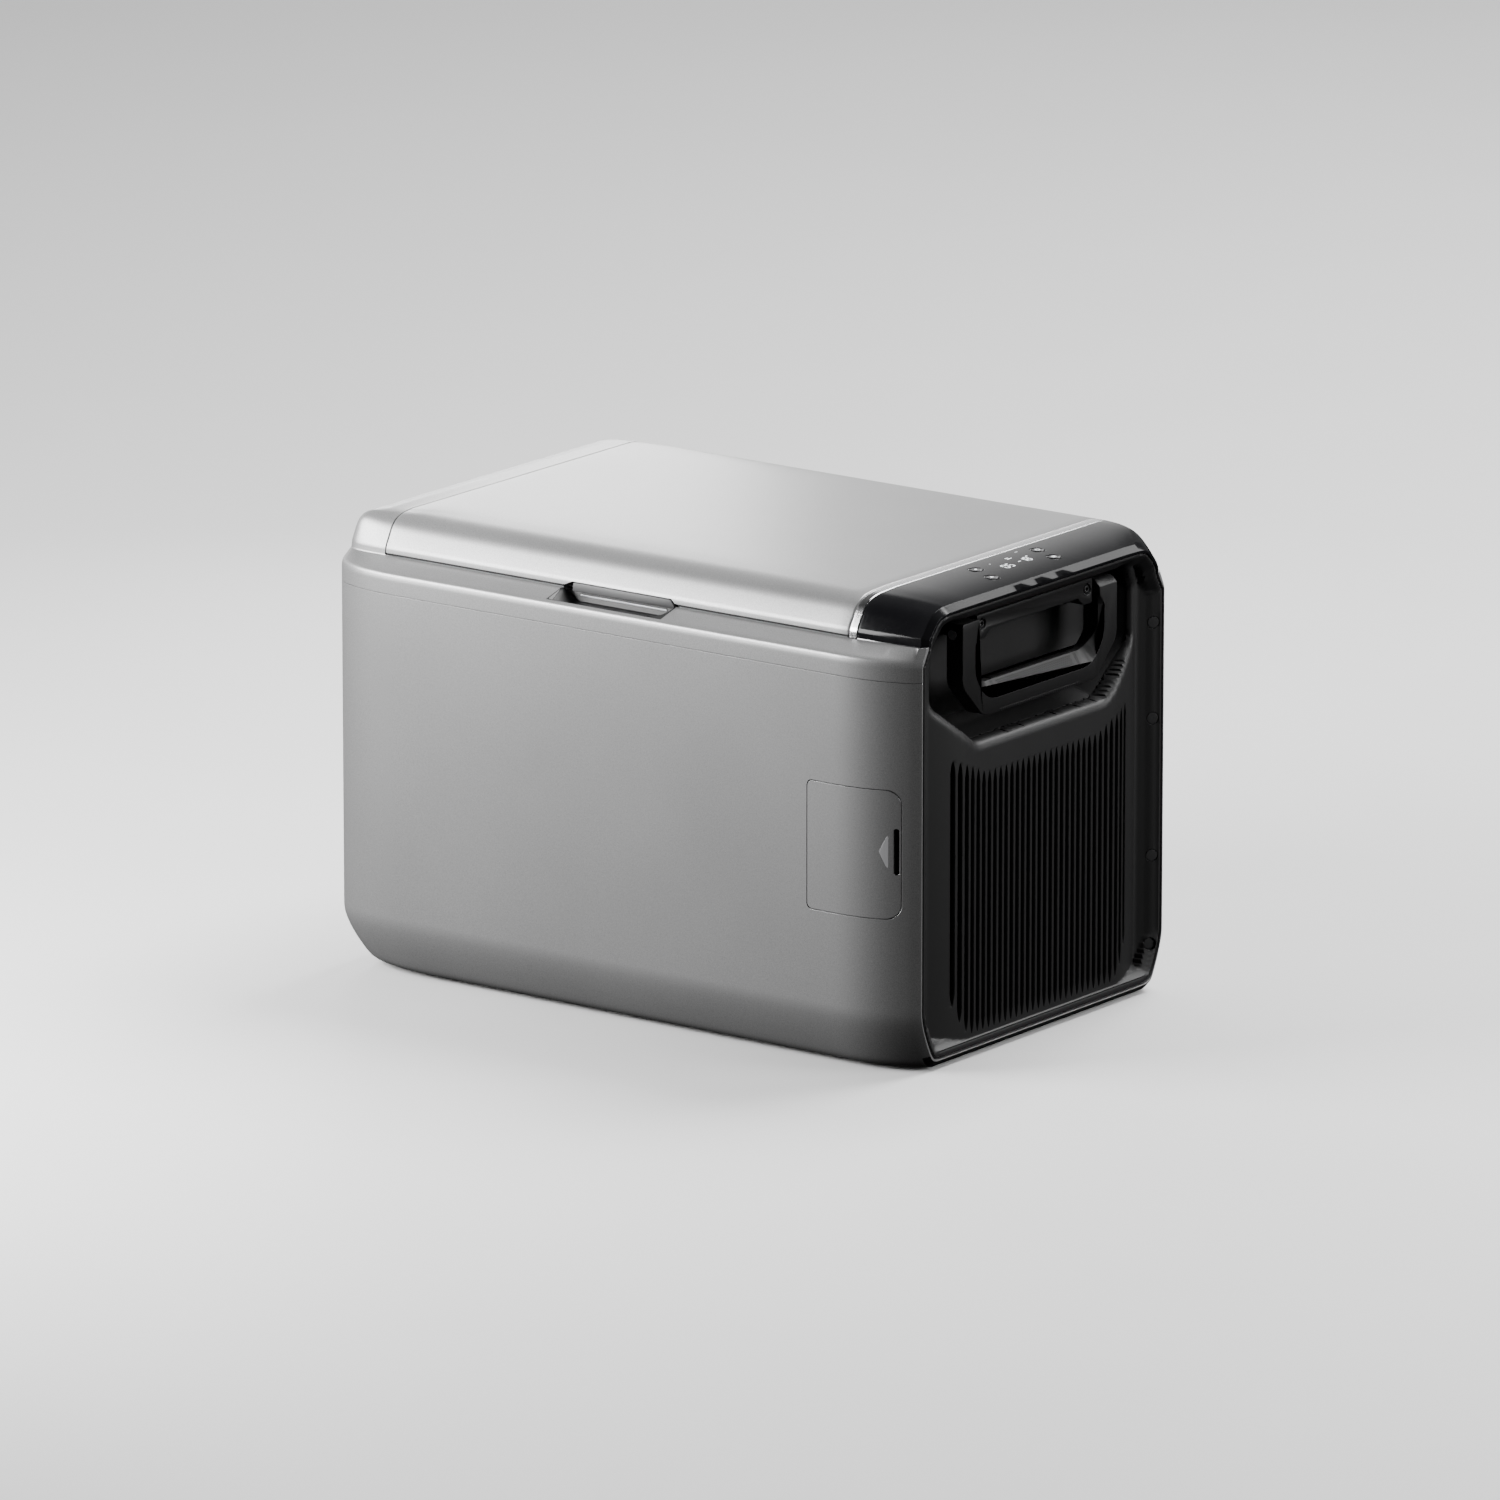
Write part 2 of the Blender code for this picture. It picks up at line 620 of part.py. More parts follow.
# ---- control panel ------------------------------------------------------------------------
def make_panel():
    panel = form("control_panel", GLOSS, x=PANEL_X, z=(PANEL_BOTTOM_Z - 1.0, 420), y=(-210, LID_REAR_Y))
    cut(panel, form("panel_hollow", None, 2.5, END_WALL - 0.4, HALF_X + 10, (PANEL_X[0] + 2.2, 330.0),
                    (-200, LID_REAR_Y - 2.5), (330, 420)))
    for name, (x, y) in BUTTONS.items():
        cut(panel, cylinder(name + "_hole", (x, y, 365), (0, 0, 1), BUTTON_HOLE, 40))
    return panel


def make_buttons():
    for name, (x, y) in BUTTONS.items():
        surface = HEIGHT - 4.0 * ((x - CURVE_START_X) / (END_X - CURVE_START_X)) ** 2
        turned(name, [(0, surface + 0.1), (4.2, surface + 0.2), (5.7, surface + 0.45), (6.3, surface - 0.1),
                      (6.3, 376.2), (0, 376.2)], (x, y, 0), GLOSS, 28)


def make_electronics():
    board = box("control_board", (237.5, 278.4), (-62, 84), (372.6, 374.2), BOARD)
    join(board, box("board_chip", (256, 268), (62, 80), (374.0, 375.8)),
         box("display_block", (250.0, 272.0), (-14, 42), (374.0, 381.5)))
    power = box("power_board", (139.0, 141.0), (-130, -20), (20, 120), BOARD)
    for i, (y, z, reach) in enumerate(((-115, 95, 17), (-80, 60, 25), (-45, 90, 14))):
        join(power, box(f"power_part_{i}", (140.5, 140.5 + reach), (y - 11, y + 11), (z - 12, z + 12)))


def make_strip():
    strip = form("chrome_strip", CHROME, x=STRIP_X, z=(PANEL_BOTTOM_Z - 1.0, 420), y=(-210, LID_REAR_Y))
    wall = 2.2
    hollow_y = (-200, LID_REAR_Y - wall)
    cut(strip, form("strip_hollow", None, wall, wall, HALF_X + 10, (200, 250), hollow_y, (330, 420)))
    return strip


# ---- lid ----------------------------------------------------------------------------------
def lid_form(name, inset, bottom, look=None):
    x = (LID_X[0] + inset, LID_X[1] - inset)
    return form(name, look, inset, inset, None, x, (-210, LID_REAR_Y - inset), (bottom, 420))


def make_lid():
    cover = lid_form("lid_cover", 0.0, LID_BOTTOM_Z, SILVER)
    cut(cover, lid_form("lid_hollow", LID_WALL, 330))
    left, right = LATCH_X[0] + 1, LATCH_X[1] - 1
    notch = [(left, 350), (right, 350), (right, 355.9), (right - 3.5, 358.9), (left + 7, 358.9),
             (left, 355.9)]
    cut(cover, prism("lip_notch", notch, "Y", -175, -160))
    foam = lid_form("lid_foam", LID_WALL + 0.4, 355.5, FOAM)
    cut(foam, box("latch_room", (LATCH_X[0] - 2, LATCH_X[1] + 2), (-170, -152), (340, 365)))
    make_lid_liner()
    make_gasket()


def make_lid_liner():
    inset = LID_WALL + 0.4
    plate_x = (LID_X[0] + inset, LID_X[1] - inset)
    liner = box("lid_liner", plate_x, (LID_FRONT_Y + inset, LID_REAR_Y - inset), (353.1, 355.1), LINER)
    plug_x = (TUB_X[0] + 4, TUB_STEP_X - 4)
    plug_y = (-TUB_HALF_Y + 4, TUB_HALF_Y - 4)
    join(liner, box("liner_plug", plug_x, plug_y, (341.0, 354.9), None, 3.0, 2))
    hollow_x = (plug_x[0] + 2.4, plug_x[1] - 2.4)
    cut(liner, box("plug_hollow", hollow_x, (plug_y[0] + 2.4, plug_y[1] - 2.4), (343.4, 370)))
    cut(liner, box("latch_gap", (LATCH_X[0] - 1, LATCH_X[1] + 1), (-175, -158.6), (340, 370)))
    return liner


def make_gasket():
    x = (TUB_X[0] - 7.6, TUB_STEP_X + 7.6)
    y = (-TUB_HALF_Y - 7.6, TUB_HALF_Y + 7.6)
    gasket = prism("lid_gasket", rounded(rectangle(x, y), 14), "Z", 351.9, 352.8, RUBBER)
    inner = rounded(rectangle((x[0] + 7, x[1] - 7), (y[0] + 7, y[1] - 7)), 8)
    return cut(gasket, prism("gasket_hole", inner, "Z", 340, 370))


def make_latch():
    """The sprung pull under the lid's lip. Its hook catches below the keeper."""
    x = (LATCH_X[0] + 12, LATCH_X[1] - 12)
    profile = [(-167.6, 345.3), (-161.6, 345.3), (-161.6, 347.5), (-164.4, 347.5), (-164.4, 351.5),
               (-158.9, 354.2), (-158.9, 358.7), (-163.4, 358.5), (-167.6, 355.5)]
    latch = prism("lid_latch", profile, "X", x[0], x[1], BLACK)
    stub_length = 5.0
    start = (x[0] - stub_length, *LATCH_AXIS)
    length = x[1] - x[0] + 2 * stub_length
    return join(latch, cylinder("latch_stub", start, (1, 0, 0), 1.6, length, sides=16))


def make_hinges():
    y, z = LID_AXIS
    for label, x in zip(("left", "right"), HINGE_XS):
        base_z = (361.4, 363.8)
        bracket = box(f"hinge_bracket_{label}", (x - 30, x + 30), (186.2, 192.4), base_z, STEEL, 0.4, 1)
        for end in (-1, 1):
            ear = cylinder(f"hinge_ear_{label}_{end}", (x + end * 18, y, z), (end, 0, 0), 3.9, 11, sides=20)
            ear_x = sorted((x + end * 18, x + end * 29))
            join(bracket, ear, box(f"ear_foot_{label}_{end}", ear_x, (186.2, 191.8), (363.0, z)))
        bore = cylinder(f"bracket_bore_{label}", (x - 40, y, z), (1, 0, 0), HINGE_BORE, 80, sides=16)
        cut(bracket, bore)
        leaf = box(f"hinge_leaf_{label}", (x - 17.5, x + 17.5), (184.8, 186.4), (366, 380), STEEL, 0.3, 1)
        join(leaf, cylinder(f"knuckle_{label}", (x - 17.5, y, z), (1, 0, 0), 3.9, 35, sides=20))
        cut(leaf, cylinder(f"leaf_bore_{label}", (x - 40, y, z), (1, 0, 0), HINGE_BORE, 80, sides=16))
        cylinder(f"hinge_pin_{label}", (x - 28.5, y, z), (1, 0, 0), HINGE_PIN_RADIUS, 57, STEEL, 16)


# ---- cold side ----------------------------------------------------------------------------
def tub_outline(grow, top):
    return [(TUB_X[0] - grow, TUB_FLOOR_Z - grow), (TUB_X[1] + grow, TUB_FLOOR_Z - grow),
            (TUB_X[1] + grow, TUB_STEP_Z - grow), (TUB_STEP_X + grow, TUB_STEP_Z - grow),
            (TUB_STEP_X + grow, top), (TUB_X[0] - grow, top)]


def tub_shape(name, grow, half_y, top, look=None):
    corners = rounded(tub_outline(grow, top), [12, 12, 8, 8, 0, 0], 3)
    return prism(name, corners, "Y", -half_y, half_y, look)


def make_tub():
    tub = tub_shape("tub_liner", TUB_WALL, TUB_HALF_Y + TUB_WALL, 351.0, LINER)
    flange_x = (TUB_X[0] - 8, TUB_STEP_X + 8)
    flange_y = (-TUB_HALF_Y - 8, TUB_HALF_Y + 8)
    join(tub, prism("tub_flange", rounded(rectangle(flange_x, flange_y), 14), "Z", 350.3, 351.6))
    cut(tub, tub_shape("tub_hollow", 0.0, TUB_HALF_Y, 380))
    box("tub_lamp", (-30, 30), (145.6, 149.7), (322, 331), LINER, 1.0, 2)
    return tub


def make_evaporator():
    outer, inner = 3.9, 2.5
    left = (TUB_X[0] - outer, TUB_X[0] - inner)
    half = (TUB_HALF_Y + outer, TUB_HALF_Y + inner)
    outline = [(88, -half[0]), (88, -half[1]), (left[1], -half[1]), (left[1], half[1]), (88, half[1]),
               (88, half[0]), (left[0], half[0]), (left[0], -half[0])]
    return prism("evaporator", outline, "Z", 82, 236, ALUMINIUM)


def make_foam():
    inset = SHELL_WALL + 0.5
    foam = form("foam_jacket", FOAM, inset, END_WALL + 0.5, HALF_X + 10, x=(-310, FOAM_END_X),
                z=(-10, DECK_Z[0] - 0.4))
    cut(foam, tub_shape("foam_well", 4.2, TUB_HALF_Y + 4.2, 380))
    cut(foam, box("bay_room", (BAY_X, 240), (-210, 210), (-10, BAY_TOP_Z)))
    cut(foam, prism("foam_left_room", pocket_outline(0.8, LEFT_POCKET), "X", -310, -269.8))
    cut(foam, prism("foam_cup_room", cup_outline(0.8), "Z", 339.8, 370))
    return foam


def make_basket():
    """Loose storage basket that stands in the deep well."""
    x, y, z = (-222, 78), (-132, 132), (64.0, 300.0)
    basket = box("storage_basket", x, y, z, WIRE, 6.0, 2)
    wall = 3.0
    return cut(basket, box("basket_hollow", (x[0] + wall, x[1] - wall), (y[0] + wall, y[1] - wall),
                           (z[0] + wall, 400)))


# ---- machine bay --------------------------------------------------------------------------
def make_machine_bay():
    box("base_plate", (138.0, 268.0), (-138, 138), (7.9, 9.5), STEEL)
    centre = (196.0, 82.0)
    for label, y in (("front", centre[1] - 34), ("rear", centre[1] + 34)):
        mount_x = (centre[0] - 40, centre[0] + 40)
        box(f"compressor_mount_{label}", mount_x, (y - 7, y + 7), (9.8, 15.0), RUBBER, 1.6, 2)
    profile = [(0, 138), (20, 137), (38, 131), (48, 119), (51, 104), (51, 86), (52.5, 84), (52.5, 79),
               (51, 77), (51, 30), (46, 20), (54, 18.4), (54, 15.3), (0, 15.3)]
    turned("compressor", profile, (*centre, 0), ENAMEL, 40)
    make_condenser()
    make_fan()


def make_condenser():
    y, z = (-134, -2), (12, 124)
    condenser = box("condenser", (257, 277), y, z, ALUMINIUM)
    fins = bmesh.new()
    count = 15
    pitch = (y[1] - y[0]) / count
    for i in range(1, count):
        middle = y[0] + i * pitch
        add_prism(fins, rectangle((middle - 2.2, middle + 2.2), (z[0] + 5, z[1] - 5)), "X", 262, 290)
    cut(condenser, finish("fin_gaps", fins))


def make_fan():
    y, z = FAN_CENTRE
    size = 46.0
    frame = box("fan_housing", (232, 254), (y - size, y + size), (z - size, z + size), BLACK, 2.0, 2)
    cut(frame, cylinder("fan_duct", (225, y, z), (1, 0, 0), 42.5, 40, sides=40))
    spokes = bmesh.new()
    add_prism(spokes, rectangle((y - 44, y + 44), (z - 2, z + 2)), "X", 232.2, 235)
    join(frame, finish("fan_spoke_a", spokes))
    join(frame, box("fan_spoke_b", (232.2, 235), (y - 2, y + 2), (z - 44, z + 44)))
    join(frame, cylinder("fan_motor", (232.1, y, z), (1, 0, 0), 15, 3.2, sides=32))
    rotor = cylinder("fan_rotor", (235.8, y, z), (1, 0, 0), 17, 15, BLACK, 32)
    blades = 7
    for i in range(blades):
        blade = bmesh.new()
        bmesh.ops.create_cube(blade, size=1.0)
        bmesh.ops.scale(blade, vec=(1.6, 19, 27), verts=blade.verts)
        pitch = Matrix.Rotation(math.radians(40), 3, "Z")
        bmesh.ops.rotate(blade, cent=(0, 0, 0), matrix=pitch, verts=blade.verts)
        bmesh.ops.translate(blade, vec=(243.3, 0, 27.5), verts=blade.verts)
        turn = Matrix.Rotation(2 * math.pi * i / blades, 3, "X")
        bmesh.ops.rotate(blade, cent=(0, 0, 0), matrix=turn, verts=blade.verts)
        bmesh.ops.translate(blade, vec=(0, y, z), verts=blade.verts)
        join(rotor, finish(f"fan_blade_{i}", blade))


def make_battery():
    x, z = (209.2, 277.4), (134.0, 236.0)
    bay = box("battery_bay", x, (-176, -38), z, BLACK)
    cut(bay, box("bay_hollow", (x[0] + 2, x[1] - 2), (-190, -40), (z[0] + 2, z[1] - 2)))
    box("battery_pack", (x[0] + 2.6, x[1] - 2.6), (-171, -41), (z[0] + 2.4, z[1] - 2.6), BLACK, 3.0, 2)


def make_inlet():
    """The rear power socket: a round low-voltage hole beside a flat one for the mains adapter."""
    inlet = box("power_inlet", INLET_X, (176, HALF_Y - 0.4), INLET_Z, BLACK, 0.8, 1)
    cut(inlet, box("socket_round", (155, 175), (184, 210), (77, 98)))
    cut(inlet, box("socket_flat", (181, 200), (184, 210), (80, 95)))


# ---- hatch --------------------------------------------------------------------------------
def make_hatch():
    door = prism("hatch_door", hatch_outline(0.0), "Y", -205, -150, SILVER)
    keep_inside(door, form("hatch_face"))
    cut(door, cavity("hatch_back", x=(150, 330), z=(100, 280)))
    x = HATCH_X[0]
    bevel = [(x - 1, -194.9), (x + 0.1, -194.9), (x + 1.0, -193.9), (x + 1.7, -192.8), (x + 2.3, -191),
             (x - 1, -191)]
    cut(door, prism("hatch_edge_relief", bevel, "Z", 120, 250))
    for i, low in enumerate((148.0, 216.0)):
        join(door, hatch_arm(f"hatch_arm_{i}", low, low + 7.0))
    cut(door, cylinder("hatch_arm_bore", (*HATCH_AXIS, 140), (0, 0, 1), HATCH_BORE, 90, sides=16))
    slot = rounded(rectangle((279.2, 283.2), (168, 207)), 1.9, 3)
    cut(door, prism("thumb_slot", slot, "Y", -205, -182.6))
    cylinder("hatch_pin", (*HATCH_AXIS, 134.6), (0, 0, 1), HATCH_PIN_RADIUS, 100.8, STEEL, 16)
    return door


def hatch_arm(name, low, high):
    """A goose-neck arm from the pin, in behind the wall's edge, to the door's back."""
    x, y = HATCH_AXIS
    path = [(0, 0), (0, 4.6), (2.6, 8.2), (7.2, 8.6), (10.6, 5.2), (10.6, -3.0)]
    width = 0.95
    left, right = [], []
    for i, point in enumerate(path):
        before = Vector(path[max(i - 1, 0)])
        after = Vector(path[min(i + 1, len(path) - 1)])
        along = (after - before).normalized()
        normal = Vector((-along.y, along.x))
        left.append(tuple(Vector(point) + normal * width))
        right.append(tuple(Vector(point) - normal * width))
    outline = [(x + a, y + b) for a, b in left + right[::-1]]
    arm = prism(name, outline, "Z", low, high)
    return join(arm, cylinder(name + "_knuckle", (x, y, low), (0, 0, 1), 2.05, high - low, sides=16))


# ---- assembly -----------------------------------------------------------------------------
def hang_on(name, position, children):
    """Parents moving pieces to an empty that stands on their joint's axis."""
    empty = bpy.data.objects.new(name, None)
    empty.location = Vector(position) * MM
    PARTS.objects.link(empty)
    bpy.context.view_layer.update()
    for child in children:
        obj = bpy.data.objects[child]
        obj.parent = empty
        obj.matrix_parent_inverse = empty.matrix_world.inverted()


def add_joint_empties():
    lid_pieces = ["lid_cover", "lid_foam", "lid_liner", "lid_gasket", "hinge_leaf_left",
                  "hinge_leaf_right"]
    hang_on("lid_axis", (0, *LID_AXIS), lid_pieces)
    hang_on("latch_axis", (0, *LATCH_AXIS), ["lid_latch"])
    hang_on("right_handle_axis", (HANDLE_AXIS[0], 0, HANDLE_AXIS[1]), ["right_handle", "right_handle_grip"])
    hang_on("left_handle_axis", (LEFT_AXIS[0], 0, LEFT_AXIS[1]), ["left_handle", "left_handle_grip"])
    hang_on("hatch_axis", (*HATCH_AXIS, 185), ["hatch_door"])
    hang_on("fan_axis", (243, *FAN_CENTRE), ["fan_rotor"])


def build():
    make_lower_shell()
    make_top_frame()
    make_latch_cup()
    make_latch_keeper()
    make_feet()
    make_end_cover()
    make_screw_caps()
    make_right_pocket()
    make_left_pocket()
    make_handle("right_handle", 1, HANDLE_X, HANDLE_AXIS, HANDLE_TOP)
    make_handle("left_handle", -1, LEFT_HANDLE_X, LEFT_AXIS, LEFT_HANDLE_TOP)
    make_grip("right_handle_grip", 1, HANDLE_X, HANDLE_TOP)
    make_grip("left_handle_grip", -1, LEFT_HANDLE_X, LEFT_HANDLE_TOP)
    make_bracket("right_handle_bracket", 1, BRACKET_X, BRACKET_BACK_X, HANDLE_AXIS, BRACKET_TOP)
    make_bracket("left_handle_bracket", -1, LEFT_BRACKET_X, LEFT_BRACKET_BACK_X, LEFT_AXIS, LEFT_BRACKET_TOP)
    make_handle_rod("right_handle", HANDLE_AXIS)
    make_handle_rod("left_handle", LEFT_AXIS)
    make_panel()
    make_buttons()
    make_electronics()
    make_strip()
    make_lid()
    make_latch()
    make_hinges()
    make_tub()
    make_evaporator()
    make_foam()
    make_basket()
    make_machine_bay()
    make_battery()
    make_inlet()
    make_hatch()
    add_joint_empties()


build()
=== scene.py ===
"""Looks of the portable compressor cooler fridge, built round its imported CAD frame.

Lengths are in millimetres inside the shape code and become metres in make(). The frame's axes are
+X along the fridge to its grille end, +Y to the hinges and +Z up, with the origin on the floor.
"""

import math
from collections import namedtuple

import bmesh
import bpy
from mathutils import Matrix, Vector


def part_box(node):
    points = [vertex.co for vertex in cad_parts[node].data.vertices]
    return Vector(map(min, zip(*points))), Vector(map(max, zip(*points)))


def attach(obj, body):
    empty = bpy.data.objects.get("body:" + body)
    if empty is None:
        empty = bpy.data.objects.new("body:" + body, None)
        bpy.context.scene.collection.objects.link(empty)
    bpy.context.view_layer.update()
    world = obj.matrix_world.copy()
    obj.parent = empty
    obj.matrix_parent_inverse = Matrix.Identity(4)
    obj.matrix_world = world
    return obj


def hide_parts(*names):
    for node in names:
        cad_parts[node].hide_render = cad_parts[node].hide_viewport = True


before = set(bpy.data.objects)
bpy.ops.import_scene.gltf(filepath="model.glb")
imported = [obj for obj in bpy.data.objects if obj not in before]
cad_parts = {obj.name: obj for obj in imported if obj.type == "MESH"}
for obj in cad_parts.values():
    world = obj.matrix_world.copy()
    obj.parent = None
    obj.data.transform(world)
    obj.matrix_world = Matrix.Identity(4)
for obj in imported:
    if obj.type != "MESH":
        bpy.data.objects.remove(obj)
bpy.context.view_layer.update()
MM = 0.001


# ---- mesh helpers
def link(obj):
    bpy.context.scene.collection.objects.link(obj)
    return obj


def finish_mesh(name, bm):
    """Makes an object of a bmesh in millimetres, with its faces turned outward."""
    bmesh.ops.recalc_face_normals(bm, faces=bm.faces)
    return sheet_mesh(name, bm)


def sheet_mesh(name, bm):
    bmesh.ops.scale(bm, vec=(MM, MM, MM), verts=bm.verts)
    mesh = bpy.data.meshes.new(name)
    bm.to_mesh(mesh)
    bm.free()
    return link(bpy.data.objects.new(name, mesh))


def use_evaluated(obj):
    """Replaces the object's mesh by its evaluated one."""
    graph = bpy.context.evaluated_depsgraph_get()
    mesh = bpy.data.meshes.new_from_object(obj.evaluated_get(graph))
    obj.modifiers.clear()
    obj.data = mesh
    return obj


def smooth(obj, angle=30):
    """Applies the modifiers and shades the faces smooth up to an angle between them."""
    use_evaluated(obj).data.shade_smooth()
    obj.data.set_sharp_from_angle(angle=math.radians(angle))
    return obj


def combine(operation, obj, *others):
    """Applies one Boolean with each of the other objects and removes them."""
    for other in others:
        modifier = obj.modifiers.new("boolean", "BOOLEAN")
        modifier.operation = operation
        modifier.solver = "EXACT"
        modifier.object = other
        use_evaluated(obj)
        bpy.data.objects.remove(other, do_unlink=True)
    return obj


def cut(obj, *others):
    return combine("DIFFERENCE", obj, *others)


def cut_prism(obj, outline, axis, low, high):
    return cut(obj, prism("cutter", outline, axis, low, high))


def solidify(obj, thickness, smooth_angle):
    modifier = obj.modifiers.new("wall", "SOLIDIFY")
    modifier.thickness = thickness * MM
    modifier.offset = -1.0
    return smooth(obj, smooth_angle)


AXES = {
    "X": lambda a, b, c: (c, a, b),
    "Y": lambda a, b, c: (a, c, b),
    "Z": lambda a, b, c: (a, b, c),
}


def prism(name, outline, axis, low, high):
    """Extrudes a flat outline, given in the two other axes in order, along one axis."""
    return loft(name, [outline, outline], axis, [low, high])


def loft(name, outlines, axis, places):
    """A closed solid through outlines with equal point counts, one at each place along an axis."""
    bm = bmesh.new()
    add_loft(bm, outlines, axis, places)
    return finish_mesh(name, bm)


def add_loft(bm, outlines, axis, places):
    put = AXES[axis]
    add_skin(bm, [[put(a, b, c) for a, b in outline] for outline, c in zip(outlines, places)])


def add_skin(bm, rings, caps=True):
    """Faces between neighbouring closed rings of points, with the first and last ring filled."""
    rings = [[bm.verts.new(point) for point in ring] for ring in rings]
    for low, high in zip(rings, rings[1:]):
        for i in range(len(low)):
            j = (i + 1) % len(low)
            bm.faces.new((low[i], low[j], high[j], high[i]))
    if caps:
        bm.faces.new(rings[0][::-1])
        bm.faces.new(rings[-1])
    return rings


def skin_solid(name, rings):
    """A closed solid through rings of points, with its many-sided faces split into triangles."""
    bm = bmesh.new()
    add_skin(bm, rings)
    bmesh.ops.triangulate(bm, faces=[f for f in bm.faces if len(f.verts) > 4])
    return finish_mesh(name, bm)


def rounded(outline, radii, steps=6):
    """The outline with each corner replaced by an arc. radii is one number, or one for each corner."""
    if not isinstance(radii, (list, tuple)):
        radii = [radii] * len(outline)
    made = []
    for i, (corner, radius) in enumerate(zip(outline, radii)):
        here = Vector(corner)
        to_last = (Vector(outline[i - 1]) - here).normalized()
        to_next = (Vector(outline[(i + 1) % len(outline)]) - here).normalized()
        half = to_last.angle(to_next) / 2
        if radius <= 0 or half > math.radians(89):
            made.append(tuple(here))
            continue
        centre = here + (to_last + to_next).normalized() * radius / math.sin(half)
        start = here + to_last * radius / math.tan(half) - centre
        end = here + to_next * radius / math.tan(half) - centre
        sweep = start.angle_signed(end)
        for k in range(steps + 1):
            made.append(tuple(centre + Matrix.Rotation(-sweep * k / steps, 2) @ start))
    return made


def rectangle(x, y):
    return [(x[0], y[0]), (x[1], y[0]), (x[1], y[1]), (x[0], y[1])]


def symmetric(half_outline):
    return half_outline + [(-a, b) for a, b in reversed(half_outline)]


# ---- materials
class Graph:
    """A short way to fill the node tree of a material or a world."""

    def __init__(self, owner, end="Principled BSDF"):
        self.owner = owner
        owner.use_nodes = True
        self.tree = owner.node_tree
        self.end = self.tree.nodes[end]

    def add(self, kind, sets=(), links=()):
        node = self.tree.nodes.new(kind)
        for key, value in dict(sets).items():
            if isinstance(key, int) or key in node.inputs:
                node.inputs[key].default_value = value
            else:
                setattr(node, key, value)
        for key, output in dict(links).items():
            self.tree.links.new(output, node.inputs[key])
        return node

    def connect(self, **outputs):
        """Links outputs to the last shader, where _ stands for a space in a socket's name."""
        for key, output in outputs.items():
            self.tree.links.new(output, self.end.inputs[key.replace("_", " ")])
        return self.owner

    def fixed(self, **values):
        for key, value in values.items():
            self.end.inputs[key.replace("_", " ")].default_value = value


def new_look(name):
    return Graph(bpy.data.materials.new(name))


def object_coordinates(graph):
    return {"Vector": graph.add("ShaderNodeTexCoord").outputs["Object"]}


def noise(graph, scale, detail=2.0, roughness=0.5):
    sets = {"Scale": scale, "Detail": detail, "Roughness": roughness}
    return graph.add("ShaderNodeTexNoise", sets, object_coordinates(graph)).outputs["Fac"]


def ramp(graph, fac, low, high, span=(0.3, 0.7), more=()):
    """A grey or colour ramp between two values over part of the factor's range."""
    node = graph.add("ShaderNodeValToRGB", links={"Fac": fac})
    elements = node.color_ramp.elements
    elements[0].position, elements[1].position = span
    for element, value in zip(elements, (low, high)):
        element.color = (*(value if isinstance(value, tuple) else (value,) * 3), 1.0)
    for place, value in more:
        elements.new(place).color = (value, value, value, 1.0)
    return node.outputs["Color"]


def bump(graph, height, strength, distance, edge=None):
    """A bumped normal. edge is the radius, in mm, by which it also softens sharp edges."""
    links = {"Height": height}
    if edge is not None:
        links["Normal"] = graph.add("ShaderNodeBevel", {"samples": 4, "Radius": edge * MM}).outputs["Normal"]
    return graph.add("ShaderNodeBump", {"Strength": strength, "Distance": distance}, links).outputs["Normal"]


def multiply(graph, a, b):
    sets = {"data_type": "RGBA", "blend_type": "MULTIPLY", 0: 1.0}
    return graph.add("ShaderNodeMix", sets, {6: a, 7: b}).outputs[2]


def shaded(colour, share):
    return tuple(c * share for c in colour)


def speckled_paint():
    """Silver-grey satin metallic paint with fine flake."""
    graph = new_look("silver_paint")
    flake = noise(graph, 1500.0, 2.0, 0.7)
    colour = ramp(graph, flake, (0.29, 0.29, 0.292), (0.50, 0.50, 0.502), (0.28, 0.72))
    graph.fixed(Metallic=0.58)
    return graph.connect(Base_Color=multiply(graph, colour, ramp(graph, noise(graph, 9.0, 3.0), 0.94, 1.0)),
                         Roughness=ramp(graph, flake, 0.42, 0.32),
                         Normal=bump(graph, noise(graph, 900.0, 3.0, 0.6), 0.16, 0.00008, 0.45))


def moulded_plastic(name, colour, rough, grain=1100.0, strength=0.25, edge=0.5):
    """Plastic with a spark-eroded mould texture."""
    graph = new_look(name)
    height = noise(graph, grain, 3.0, 0.65)
    return graph.connect(Base_Color=ramp(graph, noise(graph, 14.0, 3.0), shaded(colour, 0.82), colour),
                         Roughness=ramp(graph, height, *rough),
                         Normal=bump(graph, height, strength, 0.00009, edge))


def gloss_panel():
    """Piano-black cover with faint dust-fine waviness."""
    graph = new_look("gloss_black")
    wave = noise(graph, 26.0, 2.0)
    graph.fixed(Specular_IOR_Level=0.24)
    return graph.connect(Base_Color=ramp(graph, wave, (0.006, 0.006, 0.007), (0.010, 0.010, 0.011)),
                         Roughness=ramp(graph, noise(graph, 320.0, 3.0), 0.11, 0.16),
                         Normal=bump(graph, wave, 0.02, 0.0002, 0.35))


